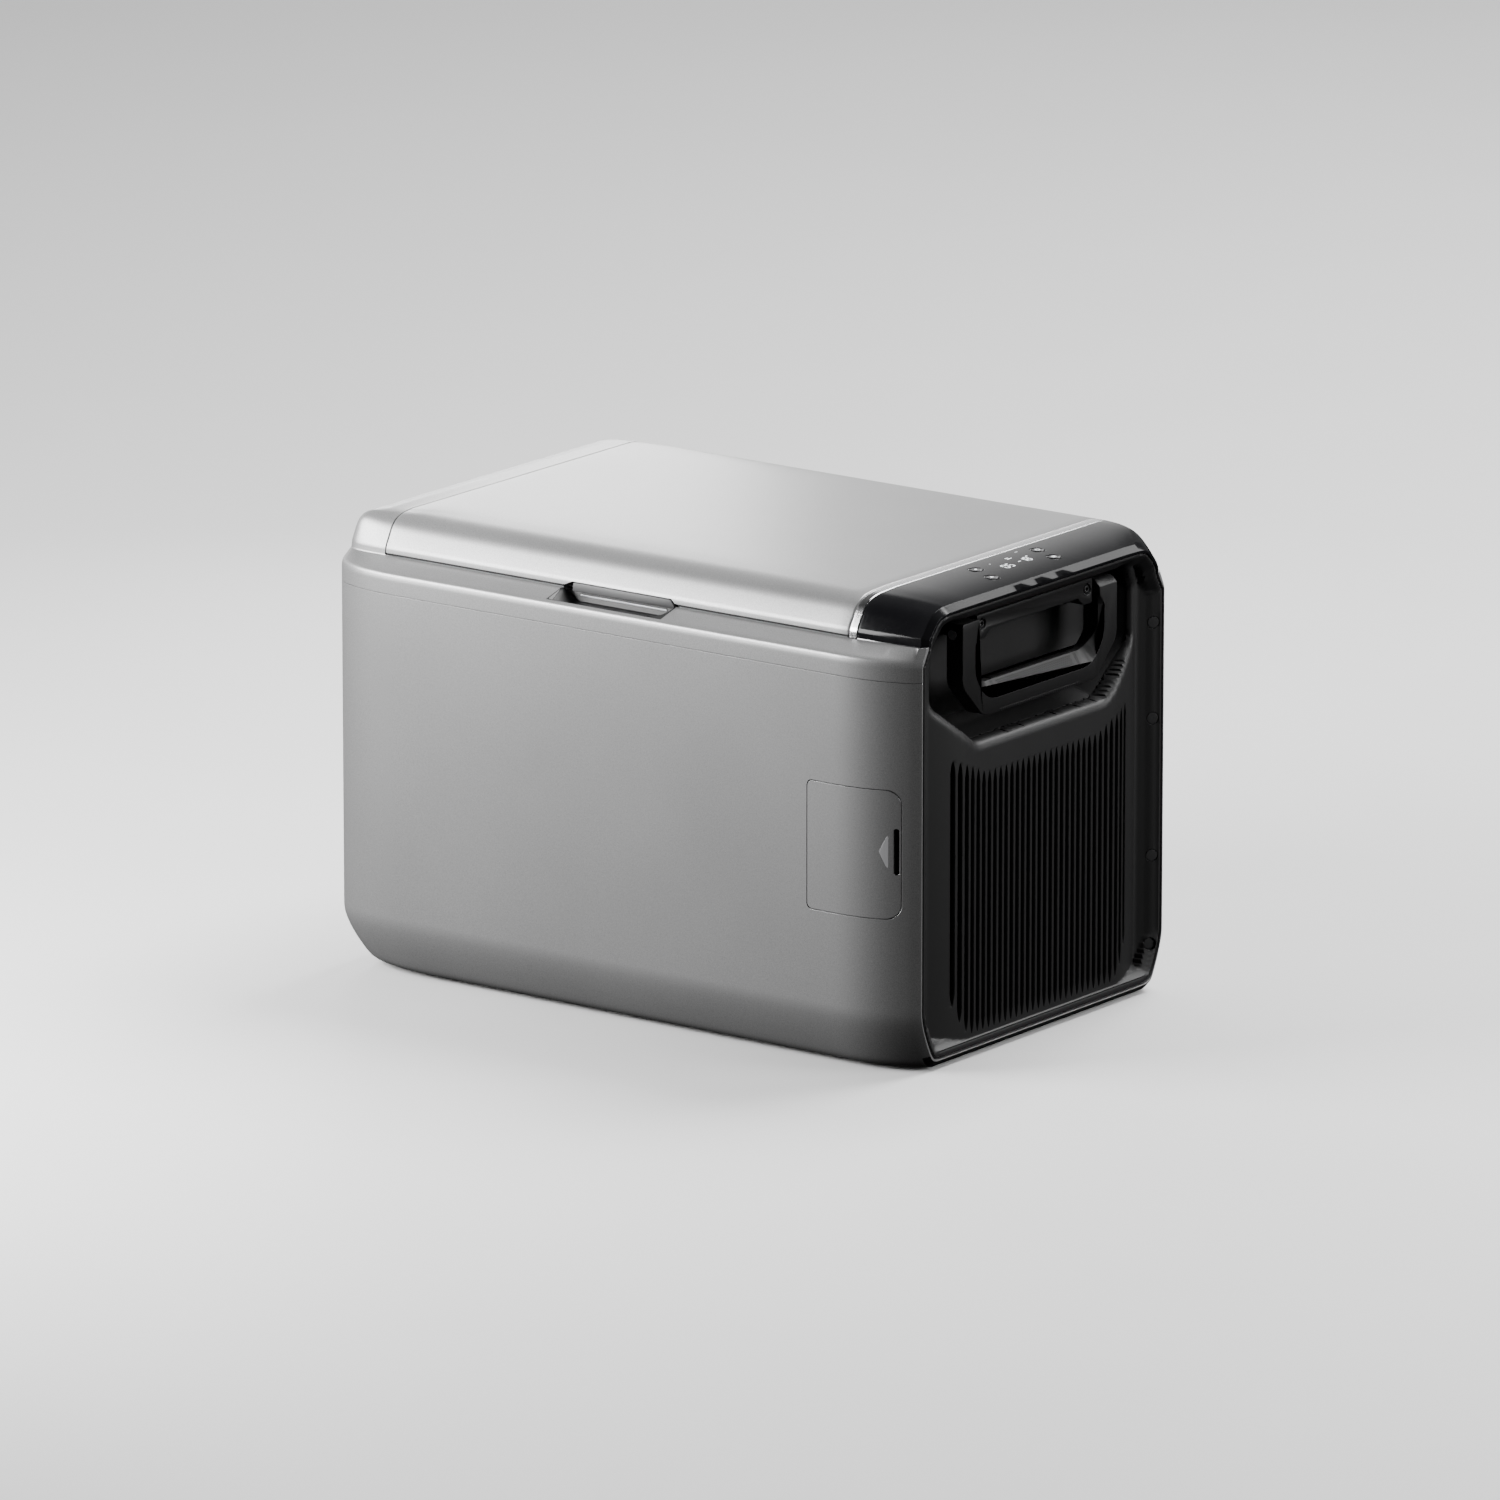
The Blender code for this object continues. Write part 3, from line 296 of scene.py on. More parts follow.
def bright_metal(name, colour, rough, grain_axis, scale=60.0):
    """Plated or bare metal with fine brushing along an axis."""
    graph = new_look(name)
    place = graph.add("ShaderNodeMapping", links=object_coordinates(graph))
    place.inputs["Scale"].default_value = [0.6 if axis == grain_axis else 25.0 for axis in range(3)]
    fac = graph.add("ShaderNodeTexNoise", {"Scale": scale, "Detail": 4.0},
                    {"Vector": place.outputs["Vector"]}).outputs["Fac"]
    graph.fixed(Metallic=1.0)
    return graph.connect(Base_Color=ramp(graph, fac, shaded(colour, 0.86), colour),
                         Roughness=ramp(graph, fac, *rough),
                         Normal=bump(graph, fac, 0.06, 0.00005, 0.3))


def cellular_foam():
    graph = new_look("insulation_foam")
    cells = graph.add("ShaderNodeTexVoronoi", {"Scale": 900.0}, object_coordinates(graph)).outputs["Distance"]
    return graph.connect(
        Base_Color=ramp(graph, noise(graph, 30.0, 4.0), (0.60, 0.50, 0.28), (0.78, 0.68, 0.43)),
        Roughness=ramp(graph, cells, 0.8, 0.95),
        Normal=bump(graph, cells, 0.5, 0.0004))


def circuit_board():
    graph = new_look("circuit_board")
    tracks = graph.add("ShaderNodeTexBrick", {"Scale": 160.0, "Mortar Size": 0.06},
                       object_coordinates(graph)).outputs["Fac"]
    return graph.connect(Base_Color=ramp(graph, tracks, (0.008, 0.09, 0.035), (0.02, 0.17, 0.07)),
                         Roughness=ramp(graph, noise(graph, 200.0), 0.35, 0.5),
                         Normal=bump(graph, tracks, 0.2, 0.0001))


def lit_sign(name, colour, power):
    """A light seen through the dark panel, with slightly uneven brightness."""
    graph = new_look(name)
    glow = ramp(graph, noise(graph, 400.0, 2.0), shaded(colour, 0.8), colour)
    graph.fixed(Emission_Strength=power)
    return graph.connect(Emission_Color=glow, Base_Color=glow,
                         Roughness=ramp(graph, noise(graph, 90.0), 0.3, 0.4))


SILVER = speckled_paint()
SATIN_BLACK = moulded_plastic("satin_black", (0.013, 0.013, 0.0135), (0.44, 0.56), strength=0.2)
HANDLE_BLACK = moulded_plastic("handle_black", (0.015, 0.015, 0.0155), (0.34, 0.46), strength=0.14, edge=0.8)
DARK_GREY = moulded_plastic("latch_grey", (0.085, 0.085, 0.087), (0.40, 0.50), strength=0.12)
GLOSS = gloss_panel()
CHROME = bright_metal("bright_trim", (0.74, 0.74, 0.75), (0.16, 0.26), 1, 40.0)
STEEL = bright_metal("zinc_steel", (0.60, 0.61, 0.63), (0.28, 0.40), 0)
ALUMINIUM = bright_metal("fin_aluminium", (0.78, 0.79, 0.80), (0.30, 0.42), 2)
LINER = moulded_plastic("liner_grey", (0.56, 0.57, 0.58), (0.34, 0.44), strength=0.08, edge=1.0)
RUBBER = moulded_plastic("rubber_black", (0.022, 0.022, 0.023), (0.72, 0.86), 600.0, 0.3, 0.5)
FOAM = cellular_foam()
BOARD = circuit_board()
ENAMEL = moulded_plastic("black_enamel", (0.016, 0.016, 0.018), (0.22, 0.32), 300.0, 0.08, 0.8)
WIRE = moulded_plastic("coated_wire", (0.72, 0.73, 0.74), (0.30, 0.38), 500.0, 0.08, 0.3)
SIGN = lit_sign("panel_sign", (0.85, 0.88, 0.90), 1.6)
SIGN_DIM = lit_sign("panel_sign_dim", (0.55, 0.57, 0.58), 0.25)


def make(obj, body, look, replaces=()):
    """Gives a piece its material and its body, and hides the CAD nodes that it stands for."""
    obj.data.materials.clear()
    obj.data.materials.append(look)
    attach(obj, body)
    if replaces:
        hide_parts(*replaces)


# ---- outer form
HALF_X, HALF_Y, HEIGHT = 297.5, 195.0, 388.6
END_X, END_BEVEL, END_HALF_Y = HALF_X - 4.8, 5.0, 175.0
CURVE_START_X, CURVE_POWER = 226.0, 2.4
CORNER_LONG, CORNER_SHORT, CORNER_POWER = 75.0, 29.0, 2.1
BLOCK_X = -252.7
LEFT_WALL_POINTS, CORNER_STEPS = 9, 16
STRIP_START_X = 223.3

CORNER_FLARE = 0.65

Level = namedtuple("Level", "z z_rear z_left z_end front rear left end tilt up soft flare flare_rear",
                   defaults=(0.0, 0.0))


def lower_level(inset, z, tilt, up, soft):
    side = HALF_Y - inset
    return Level(z, z, z, z, side, side, HALF_X - inset, END_HALF_Y - inset, tilt, up, soft)


def upper_level(*numbers):
    """A level above the wall, whose step from the wall fades out round the left corners."""
    now = Level(*numbers)
    flare, flare_rear = (CORNER_FLARE * (HALF_Y - y) for y in (now.front, now.rear))
    return now._replace(flare=flare, flare_rear=flare_rear)


# From the floor up: z at the front, rear, left and grille end, then how far out each of them lies,
# the slope's angle at the end bevel, how much an inset lowers the level, and its rounding.
LEVELS = (
    lower_level(27.0, 2.0, -90, -1.0, 0),
    lower_level(21.0, 3.3, -70, -0.9, 3),
    lower_level(16.0, 7.0, -45, -0.6, 4),
    lower_level(12.0, 14.0, -30, -0.4, 5),
    lower_level(6.5, 26.0, -22, -0.3, 6),
    lower_level(2.2, 38.0, -12, -0.1, 6),
    lower_level(0.0, 48.0, 0, 0.0, 6),
    upper_level(343.0, 352.0, 343.0, 341.0, 195.0, 195.0, 297.3, 175.0, 0, 0.0, 2),
    upper_level(348.0, 358.0, 348.0, 345.0, 194.2, 193.0, 296.4, 174.0, 12, 0.5, 4.5),
    upper_level(355.0, 361.0, 356.0, 359.0, 169.0, 186.0, 295.0, 167.6, 25, 1.0, 1.2),
    upper_level(362.0, 363.5, 362.0, 364.5, 168.8, 184.7, 294.2, 164.4, 28, 0.1, 2.5),
    upper_level(379.0, 378.0, 377.0, 378.4, 158.5, 184.6, 291.2, 152.6, 40, 0.4, 6),
    upper_level(384.2, 384.6, 382.4, 382.3, 151.6, 183.2, 288.4, 146.0, 60, 0.75, 5),
    upper_level(387.4, 387.6, 386.2, 384.1, 141.0, 179.0, 283.4, 137.0, 80, 0.95, 8),
    upper_level(HEIGHT, HEIGHT, 388.2, 384.6, 116.0, 166.0, 271.0, 117.0, 90, 1.0, 0),
)
# The places of some key levels in LEVELS.
WALL_FOOT, RIDGE, SHELF, TOP = 6, 8, 9, 14


def mixed(a, b, t):
    return Level(*(p + (q - p) * t for p, q in zip(a, b)))


def straight_level(s):
    k = min(int(s), len(LEVELS) - 2)
    return mixed(LEVELS[k], LEVELS[k + 1], s - k)


def span_length(k):
    a, b = LEVELS[k], LEVELS[k + 1]
    return math.hypot(b.z - a.z, b.front - a.front)


def soft_reach(k):
    """How far the rounding of level k reaches into the spans below and above it, in level units."""
    if k in (0, len(LEVELS) - 1):
        return 0.0, 0.0
    return tuple(min(0.48, LEVELS[k].soft / span_length(j)) for j in (k - 1, k))


def level(s):
    """The level at a height index, with each key level rounded by a quadratic curve."""
    k = round(s)
    below, above = soft_reach(k)
    if not (k - below < s < k + above):
        return straight_level(s)
    a, b = straight_level(k - below), straight_level(k + above)
    t = (s - (k - below)) / (below + above)
    return mixed(mixed(a, LEVELS[k], t), mixed(LEVELS[k], b, t), t)


def heights(start, end, step=22.0):
    """Height indices from start to end, close together where the form turns."""
    marks = {start, end}
    for k in range(len(LEVELS)):
        below, above = soft_reach(k)
        for i in range(7):
            marks.add(k - below + (below + above) * i / 6)
        if k < len(LEVELS) - 1:
            low, high = k + above, k + 1 - soft_reach(k + 1)[0]
            count = max(1, round((high - low) * span_length(k) / step))
            marks.update(low + (high - low) * i / count for i in range(count))
    made = []
    for s in sorted(m for m in marks if start <= m <= end):
        if not made or s - made[-1] > 1e-4:
            made.append(s)
    return made


def inset_level(s, inset, end_inset=None):
    now = level(s)
    end_inset = inset if end_inset is None else end_inset
    drop = inset * now.up
    return now._replace(z=now.z - drop, z_rear=now.z_rear - drop, z_left=now.z_left - drop,
                        z_end=now.z_end - end_inset * now.up * 0.95, front=now.front - inset,
                        rear=now.rear - inset, left=now.left - inset, end=now.end - end_inset)


def wall_point(now, side, x):
    """The point of a level on the front (side -1) or rear (side 1) wall at one x."""
    reach, z_wall = (now.front, now.z) if side < 0 else (now.rear, now.z_rear)
    if x < CORNER_LONG - now.left:
        return corner_point(now, side, block_angle(now, x))
    t = max(0.0, (min(x, END_X) - CURVE_START_X) / (END_X - CURVE_START_X))
    y = reach - (reach - now.end) * t ** CURVE_POWER
    z = z_wall + (now.z_end - z_wall) * t * t
    if x > END_X:
        share = (x - END_X) / (HALF_X - END_X)
        tilt = math.radians(now.tilt)
        y -= share * END_BEVEL * math.cos(tilt)
        z -= share * END_BEVEL * math.sin(tilt)
    return Vector((x, side * y, z))


def corner_point(now, side, angle):
    reach, z_wall, flare = now.front, now.z, now.flare
    if side > 0:
        reach, z_wall, flare = now.rear, now.z_rear, now.flare_rear
    x = -now.left + CORNER_LONG * (1 - math.sin(angle) ** (2 / CORNER_POWER))
    y = reach - CORNER_SHORT * (1 - math.cos(angle) ** (2 / CORNER_POWER)) + flare * math.sin(angle) ** 2
    z = z_wall + (now.z_left - z_wall) * (1 - math.cos(angle))
    return Vector((x, side * y, z))


def block_angle(now, x=BLOCK_X):
    """Where round the corner a level reaches one x."""
    share = max(0.0, min(1.0, (x + now.left) / CORNER_LONG))
    return math.asin(min(1.0, (1 - share) ** (CORNER_POWER / 2)))


def level_ring(now, stops):
    """The points of a level: the front from the grille end, round the left end and back."""
    first = block_angle(now)
    turns = [first + (math.pi / 2 - first) * k / CORNER_STEPS for k in range(1, CORNER_STEPS + 1)]
    spaces = LEFT_WALL_POINTS + 1
    near, far = (corner_point(now, side, math.pi / 2) for side in (-1, 1))
    front = [wall_point(now, -1, x) for x in stops] + [corner_point(now, -1, turn) for turn in turns]
    rear = [wall_point(now, 1, x) for x in stops] + [corner_point(now, 1, turn) for turn in turns]
    return front + [near.lerp(far, i / spaces) for i in range(1, spaces)] + rear[::-1]


def x_stops(start, end, step=16.0):
    """x values from start down to end, closer together where the plan curves."""
    marks = [x for x in (HALF_X, END_X) if end <= x <= start]
    marks += [CURVE_START_X + (END_X - CURVE_START_X) * i / 16 for i in range(16)]
    count = round((CURVE_START_X - BLOCK_X) / step)
    marks += [BLOCK_X + (CURVE_START_X - BLOCK_X) * i / count for i in range(count)]
    marks += [start, end]
    made = []
    for x in sorted({x for x in marks if end <= x <= start}, reverse=True):
        if not made or made[-1] - x > 0.05:
            made.append(x)
    return made


def grid_faces(bm, rows):
    """Quads between neighbouring rows of vertices."""
    for low, high in zip(rows, rows[1:]):
        for i in range(len(low) - 1):
            quad = (low[i], low[i + 1], high[i + 1], high[i])
            if len(set(quad)) == 4:
                bm.faces.new(quad)


def form(name, start, end, inset=0.0, end_inset=0.0, far=None):
    """A closed solid with the outer form's surface between two height indices, moved in by an inset."""
    bm = bmesh.new()
    stops = x_stops(HALF_X, BLOCK_X)
    rings = []
    for s in heights(start, end):
        now = inset_level(s, inset, end_inset)
        ring = level_ring(now, stops)
        if far is not None:
            for i, side in ((0, -1), (-1, 1)):
                ring[i] = Vector((far, side * now.end, now.z_end))
        rings.append(ring)
    rings = add_skin(bm, rings, caps=False)
    corner_end = len(stops) + CORNER_STEPS - 1
    for ring in (rings[0], rings[-1]):
        for i in range(corner_end - 1):
            bm.faces.new((ring[i], ring[i + 1], ring[-2 - i], ring[-1 - i]))
        bm.faces.new(ring[corner_end - 1:len(ring) - corner_end + 1])
    bmesh.ops.triangulate(bm, faces=bm.faces)
    return finish_mesh(name, bm)


SPLIT_S = WALL_FOOT + (330.0 - 48.0) / 295.0
SEAM_S = 0.2 / 295.0
SHELL_WALL, END_WALL = 2.8, 6.0
FOOT_X, FOOT_Y, FOOT_HOLE = 215.0, 125.0, 6.5


def outward(side, low, high):
    """Two distances from the middle, on one side of it, in rising order."""
    return sorted((side * low, side * high))


def block(name, x, y, z):
    return prism(name, rectangle(x, y), "Z", *z)


def make_lower_shell():
    shell = form("lower_shell_skin", 0.0, SPLIT_S - SEAM_S)
    cut(shell, form("lower_hollow", 0.0, SPLIT_S + 0.02, SHELL_WALL, END_WALL, HALF_X + 10))
    cut_prism(shell, hatch_outline(0.7), "Y", -215, -150)
    cut_prism(shell, pocket_outline(0.3, LEFT_POCKET), "X", -310, -255)
    cut(shell, block("inlet_cut", (149.7, 205.3), (180, 210), (69.7, 105.3)))
    for x, y in ((x, y) for x in (-FOOT_X, FOOT_X) for y in (-FOOT_Y, FOOT_Y)):
        cut_prism(shell, circle(x, y, FOOT_HOLE, 24), "Z", -5, 20)
    make(smooth(shell, 28), "housing", SILVER, ["lower_shell"])
    blacken_base(shell)


def blacken_base(shell):
    """The bevel below the grille end is black plastic."""
    shell.data.materials.append(SATIN_BLACK)
    for polygon in shell.data.polygons:
        centre, normal = polygon.center / MM, polygon.normal
        if centre.x > END_X and centre.z < 12.5 and normal.z < -0.2:
            polygon.material_index = 1


def circle(a, b, radius, sides=32):
    turns = [2 * math.pi * i / sides for i in range(sides)]
    return [(a + radius * math.cos(t), b + radius * math.sin(t)) for t in turns]


def hatch_outline(grow):
    return rounded(rectangle((201.0 - grow, 284.4 + grow), (131.4 - grow, 238.6 + grow)), [5, 12, 12, 5], 8)


RIGHT_POCKET = (89.0, 140.0, 262.0, 300.0, 368.0)
LEFT_POCKET = (86.0, 122.0, 264.0, 296.0, 366.0)


def pocket_outline(grow, shape=RIGHT_POCKET, radii=(16, 16, 10, 10), steps=7):
    """Outline of a handle pocket in (y, z): a trapezoid below, straight sides above."""
    bottom_half, side_half, bottom_z, side_z, top_z = shape
    half = [(bottom_half + grow * 0.6, bottom_z - grow), (side_half + grow, side_z - grow * 0.3),
            (side_half + grow, top_z - 22), (side_half - 14 + grow, top_z + grow)]
    return rounded(symmetric(half), list(radii) + list(radii)[::-1], steps)


# ---- top frame
SEAT_FRONT_Y, SEAT_REAR_Y, DECK_Z = 169.4, 184.7, 350.0


def make_top_frame():
    shell = form("top_frame_skin", SPLIT_S + SEAM_S, TOP)
    hollow = form("frame_hollow", SPLIT_S - 0.05, TOP, SHELL_WALL, END_WALL, HALF_X + 10)
    cut(hollow, block("deck_block", (BLOCK_X - 3.0, 228.0), (-210, 210), (346.0, 430)))
    seat = block("lid_seat", (BLOCK_X, 232.0), (-SEAT_FRONT_Y, SEAT_REAR_Y), (DECK_Z, 420))
    combine("UNION", seat, block("panel_seat", (STRIP_START_X, 320.0), (-205, 205), (356.1, 425)))
    cut(shell, hollow, seat)
    cut_prism(shell, rounded(rectangle((-243, 208), (-153, 153)), 12), "Z", 320, 380)
    cut_prism(shell, cup_outline(0.05), "Z", 330, 420)
    cut_prism(shell, pocket_outline(0.3, LEFT_POCKET), "X", -310, -255)
    make(smooth(shell, 28), "housing", SILVER, ["top_frame"])


def cup_outline(grow):
    x, (near, far) = (-68.0 - grow, 49.0 + grow), (-190.5 - grow, -158.3 + grow)
    front = [(x[0] + 5, near), (x[1] - 5, near), (x[1], far - 12)]
    return front + [(x[1], far), (x[0], far), (x[0], far - 12)]


# ---- grille end
RIM_X = 297.2
VALLEY_X, VALLEY_Y, FLANGE_Y = 284.0, 147.0, 165.5
BULGE_HALF = 104.0
COVER_INSET = 6.6
RIM_WIDTH = 3.7
BOTTOM_RIM_Z = 15.0
SLOT_PITCH, SLOT_COUNT, SLOT_HALF, SLOT_DEPTH = 7.8, 32, 2.7, 11.0
# Across a slot: how far out from its middle, as a share of its half width, and how deep, in mm.
SLOT_PROFILE = symmetric([(-1.0, 0.0), (-0.84, 0.35), (-0.7, 1.4), (-0.62, 3.6), (-0.56, SLOT_DEPTH)])


def smooth_step(t):
    t = max(0.0, min(1.0, t))
    return t * t * (3 - 2 * t)


def soft_max(a, b, width):
    """The larger of two heights, blended where they cross."""
    h = max(width - abs(a - b), 0.0) / width
    return max(a, b) + h * h * width / 4


def distance_to(outline, y, z):
    """Distance from a point to a closed outline: positive inside it, negative outside."""
    best = 1e9
    inside = False
    for i, (ay, az) in enumerate(outline):
        by, bz = outline[i - 1]
        ey, ez = by - ay, bz - az
        wy, wz = y - ay, z - az
        t = max(0.0, min(1.0, (wy * ey + wz * ez) / (ey * ey + ez * ez)))
        dy, dz = wy - ey * t, wz - ez * t
        best = min(best, dy * dy + dz * dz)
        if (az > z) != (bz > z) and y < ay + (z - az) * ey / ez:
            inside = not inside
    return math.sqrt(best) if inside else -math.sqrt(best)


def end_outline(inset):
    """The outline of the grille end in (y, z), moved in from where the shell's end starts to bevel."""
    half = []
    for s in heights(0.0, TOP, 60.0):
        now = inset_level(s, inset)
        half.append((now.end, now.z_end))
    return symmetric(half)


def dish_x(y):
    """The dished face: flat in the middle, curving back to a valley on each side and out to the rim."""
    side = abs(y)
    bend = max(0.0, (side - BULGE_HALF) / (VALLEY_Y - BULGE_HALF))
    face = RIM_X - 1.2 - (RIM_X - 1.2 - VALLEY_X) * min(bend, 1.6) ** 1.45
    flange = VALLEY_X + (RIM_X - VALLEY_X) * (side - VALLEY_Y) / (FLANGE_Y - VALLEY_Y)
    return min(RIM_X, soft_max(face, flange, 2.2))


def slot_ends(y):
    side = max(0.0, (abs(y) - 78.0) / 46.0)
    corner = max(0.0, (abs(y) - 96.0) / 26.0)
    return 19.0 + 30.0 * corner ** 2, 236.0 + 18.0 * side


def slot_share(z, low, high):
    """How open a slot is at a height: 1 along its run, falling to 0 in a point at each end."""
    taper = 11.0
    return max(0.0, min(1.0, (z - low) / taper, (high - z) / taper)) ** 0.55


def end_x(y, z, rim, pocket):
    """The cover's face at a point, without its slots."""
    x = dish_x(y)
    slope = RIM_X - (z - BOTTOM_RIM_Z) / 0.72
    if z < 45:
        x = min(RIM_X, soft_max(x, slope, 0.8))
    if abs(y) > 140 or z < 30 or z > 340:
        edge = distance_to(rim, y, z)
        wall = RIM_X - max(0.0, edge - RIM_WIDTH) * (0.9 if z > 340 else 0.72)
        x = max(x, wall) if edge < 12 else x
        x -= 3.0 * (1 - smooth_step((edge - 0.5) / 1.1))
        ledge = math.exp(-((edge - 5.6) / 0.5) ** 2) if z < 320 else 0.0
        x -= 0.5 * ledge
    if z > 235:
        away = -distance_to(pocket, y, z)
        radius = 7.5
        if away < radius:
            t = max(0.0, away) / radius
            x -= radius * 0.9 * (1 - math.sqrt(max(0.0, 1 - (1 - t) ** 2)))
        if away < 0:
            x = min(x, 281.0)
    return x


def cover_rows():
    """Heights of the cover's grid rows, close together where its face turns."""
    spans = ((2.0, 60.0, 1.0), (60.0, 224.0, 12.0), (224.0, 262.0, 0.9), (262.0, 384.0, 1.5))
    made = [low + (high - low) * i / round((high - low) / step)
            for low, high, step in spans for i in range(round((high - low) / step))]
    return made + [384.0]


def cover_column(z):
    """(y, slot depth) across the cover at one height. The columns by a slot move in with its mouth."""
    made = []
    count = 26
    edge = SLOT_PITCH * SLOT_COUNT / 2
    for i in range(count):
        made.append((-172.0 + (172.0 - edge) * i / count, 0.0))
    for i in range(SLOT_COUNT):
        centre = (i - (SLOT_COUNT - 1) / 2) * SLOT_PITCH
        open_share = slot_share(z, *slot_ends(centre))
        half = max(0.03, SLOT_HALF * open_share)
        depth_share = smooth_step(open_share * 1.1)
        made.append((centre - SLOT_PITCH / 2, 0.0))
        made += [(centre + half * u, depth * depth_share) for u, depth in SLOT_PROFILE]
    for i in range(count + 1):
        made.append((edge + (172.0 - edge) * i / count, 0.0))
    return made


def make_end_cover():
    rim = end_outline(COVER_INSET)
    pocket = pocket_outline(0.0)
    bm = bmesh.new()
    front_rows, back_rows = [], []
    for z in cover_rows():
        front, back = [], []
        for y, depth in cover_column(z):
            x = end_x(y, z, rim, pocket) - depth
            front.append(bm.verts.new((x, y, z)))
            back.append(bm.verts.new((min(x - 2.4, dish_x(y) - 12.5), y, z)))
        front_rows.append(front)
        back_rows.append(back)
    grid_faces(bm, front_rows)
    grid_faces(bm, [row[::-1] for row in back_rows])
    join_borders(bm, front_rows, back_rows)
    cover = finish_mesh("end_cover_skin", bm)
    combine("INTERSECT", cover, prism("cover_limit", rim, "X", 200, 300))
    cut_prism(cover, pocket_outline(-0.4), "X", 200, 310)
    cut(cover, cap_seats())
    make(smooth(cover, 32), "housing", SATIN_BLACK, ["right_end_cover"])


def join_borders(bm, front, back):
    """Closes the four sides between two grids."""
    for a, b in ((front[0], back[0]), (front[-1], back[-1])):
        grid_faces(bm, [a, b])
    for i in (0, -1):
        grid_faces(bm, [[row[i] for row in front], [row[i] for row in back]])


# ---- screw caps on the grille end's side flanges
CAP_HEIGHTS = (39.0, 114.5, 231.5, 313.0)
CAP_RADIUS = 5.0


def add_cap(bm, side, z, radius, stops, sides=28):
    """Rings round a flange cap's axis: each stop is (share of the radius, distance out of the flange)."""
    down = Vector((VALLEY_X - RIM_X, VALLEY_Y - FLANGE_Y, 0)).normalized()
    spot = Vector((RIM_X, FLANGE_Y, z)) + down * (8.3 if z < 60 else 6.8)
    out = Vector((-down.y, down.x, 0))
    rings = []
    for share, height in stops:
        centre = spot + out * height
        ring = [centre + down * a + Vector((0, 0, b)) for a, b in circle(0, 0, radius * share, sides)]
        rings.append([(point.x, side * point.y, point.z) for point in ring])
    add_skin(bm, rings)


def make_caps():
    stops = ((0.96, -0.9), (0.98, -0.1), (0.95, 0.12), (0.86, 0.2), (0.3, 0.22))
    for side, where in ((-1, "front"), (1, "rear")):
        for i, z in enumerate(CAP_HEIGHTS):
            bm = bmesh.new()
            add_cap(bm, side, z, CAP_RADIUS, stops)
            cap = smooth(finish_mesh(f"flange_cap_{where}_{i + 1}", bm))
            make(cap, "housing", RUBBER, [f"screw_cap_rear_{i + 1}"] if side > 0 else ())


def cap_seats():
    """Shallow round seats, as one cutter for the cover."""
    bm = bmesh.new()
    for side in (-1, 1):
        for z in CAP_HEIGHTS:
            add_cap(bm, side, z, CAP_RADIUS + 0.4, ((1.0, -0.8), (1.0, 6.0)))
    return finish_mesh("cap_seats", bm)


# ---- lid, strip and panel: sections across x
LID_REAR_Y = 184.2


def section(s_list, x, inset, bottom, inner=16):
    """The outline across the fridge at one x: up the front, over the top and down the rear."""
    front, rear = [], []
    for s in s_list:
        now = inset_level(s, inset)
        front.append(wall_point(now, -1, x))
        point = wall_point(now, 1, x)
        point.y = min(point.y, LID_REAR_Y - inset)
        rear.append(point)
    front[0].z = bottom
    rear[0].z = bottom
    rear = [p for i, p in enumerate(rear) if i == 0 or p.z > bottom + 0.5]
    while len(rear) < len(front):
        rear.insert(1, rear[0].lerp(rear[1], 0.5))
    top = [front[-1].lerp(rear[-1], k / inner) for k in range(1, inner)]
    return front + top + rear[::-1]


def lowest_z(s, span, inset):
    return min(wall_point(inset_level(s, inset), -1, x).z for x in span)


def section_solid(name, slices, marks, bottom, far=None):
    """A closed solid through the sections at each (x, inset). far repeats the last one at another x."""
    outlines = [section(marks, x, inset, bottom) for x, inset in slices]
    if far is not None:
        outlines.append([Vector((far, p.y, p.z)) for p in outlines[-1]])
    return skin_solid(name, outlines)


def section_piece(name, span, start, bottom, wall, edge, end_open=False):
    """A shell over sections from span[0] to span[1], open below, with rounded end edges."""
    marks = [s for s in heights(start, TOP, 8.0) if lowest_z(s, span, wall) > bottom + 0.2]
    turns = [math.radians(turn) for turn in (0, 22, 45, 68, 90)]
    arc = [(edge * (1 - math.cos(t)), edge * (1 - math.sin(t))) for t in turns]
    near = [(span[0] + x, inset) for x, inset in arc]
    far = [(span[1], 0.0)] if end_open else [(span[1] - x, inset) for x, inset in reversed(arc)]
    middle = [x for x in reversed(x_stops(span[1], span[0])) if near[-1][0] < x < far[0][0]]
    shell = section_solid(name, near + [(x, 0.0) for x in middle] + far, marks, bottom)
    first, last = span[0] + wall, span[1] - (0 if end_open else wall)
    gap = 0 if end_open else 1
    inner = [first] + [x for x in middle if first + 1 < x < last - gap] + [last]
    beyond = HALF_X + 10 if end_open else None
    return cut(shell, section_solid("hollow", [(x, wall) for x in inner], marks, bottom - 6, beyond))


LID_SPAN, STRIP_SPAN, PANEL_SPAN = (-252.2, 222.7), (223.7, 231.8), (232.2, HALF_X)
KEYS = {"down_key": (248.6, -29.0), "up_key": (271.0, -38.0),
        "power_key": (249.0, 57.0), "mode_key": (270.5, 50.0)}


def make_lid():
    lid = section_piece("lid_skin", LID_SPAN, SHELF + 0.36, 357.3, 2.4, 1.2)
    notch = [(-67, 350), (48, 350), (48, 356.4), (43.5, 360.9), (-58, 360.9), (-68, 356.4)]
    cut_prism(lid, notch, "Y", -175, -162)
    make(smooth(lid, 28), "lid", SILVER, ["lid_cover"])


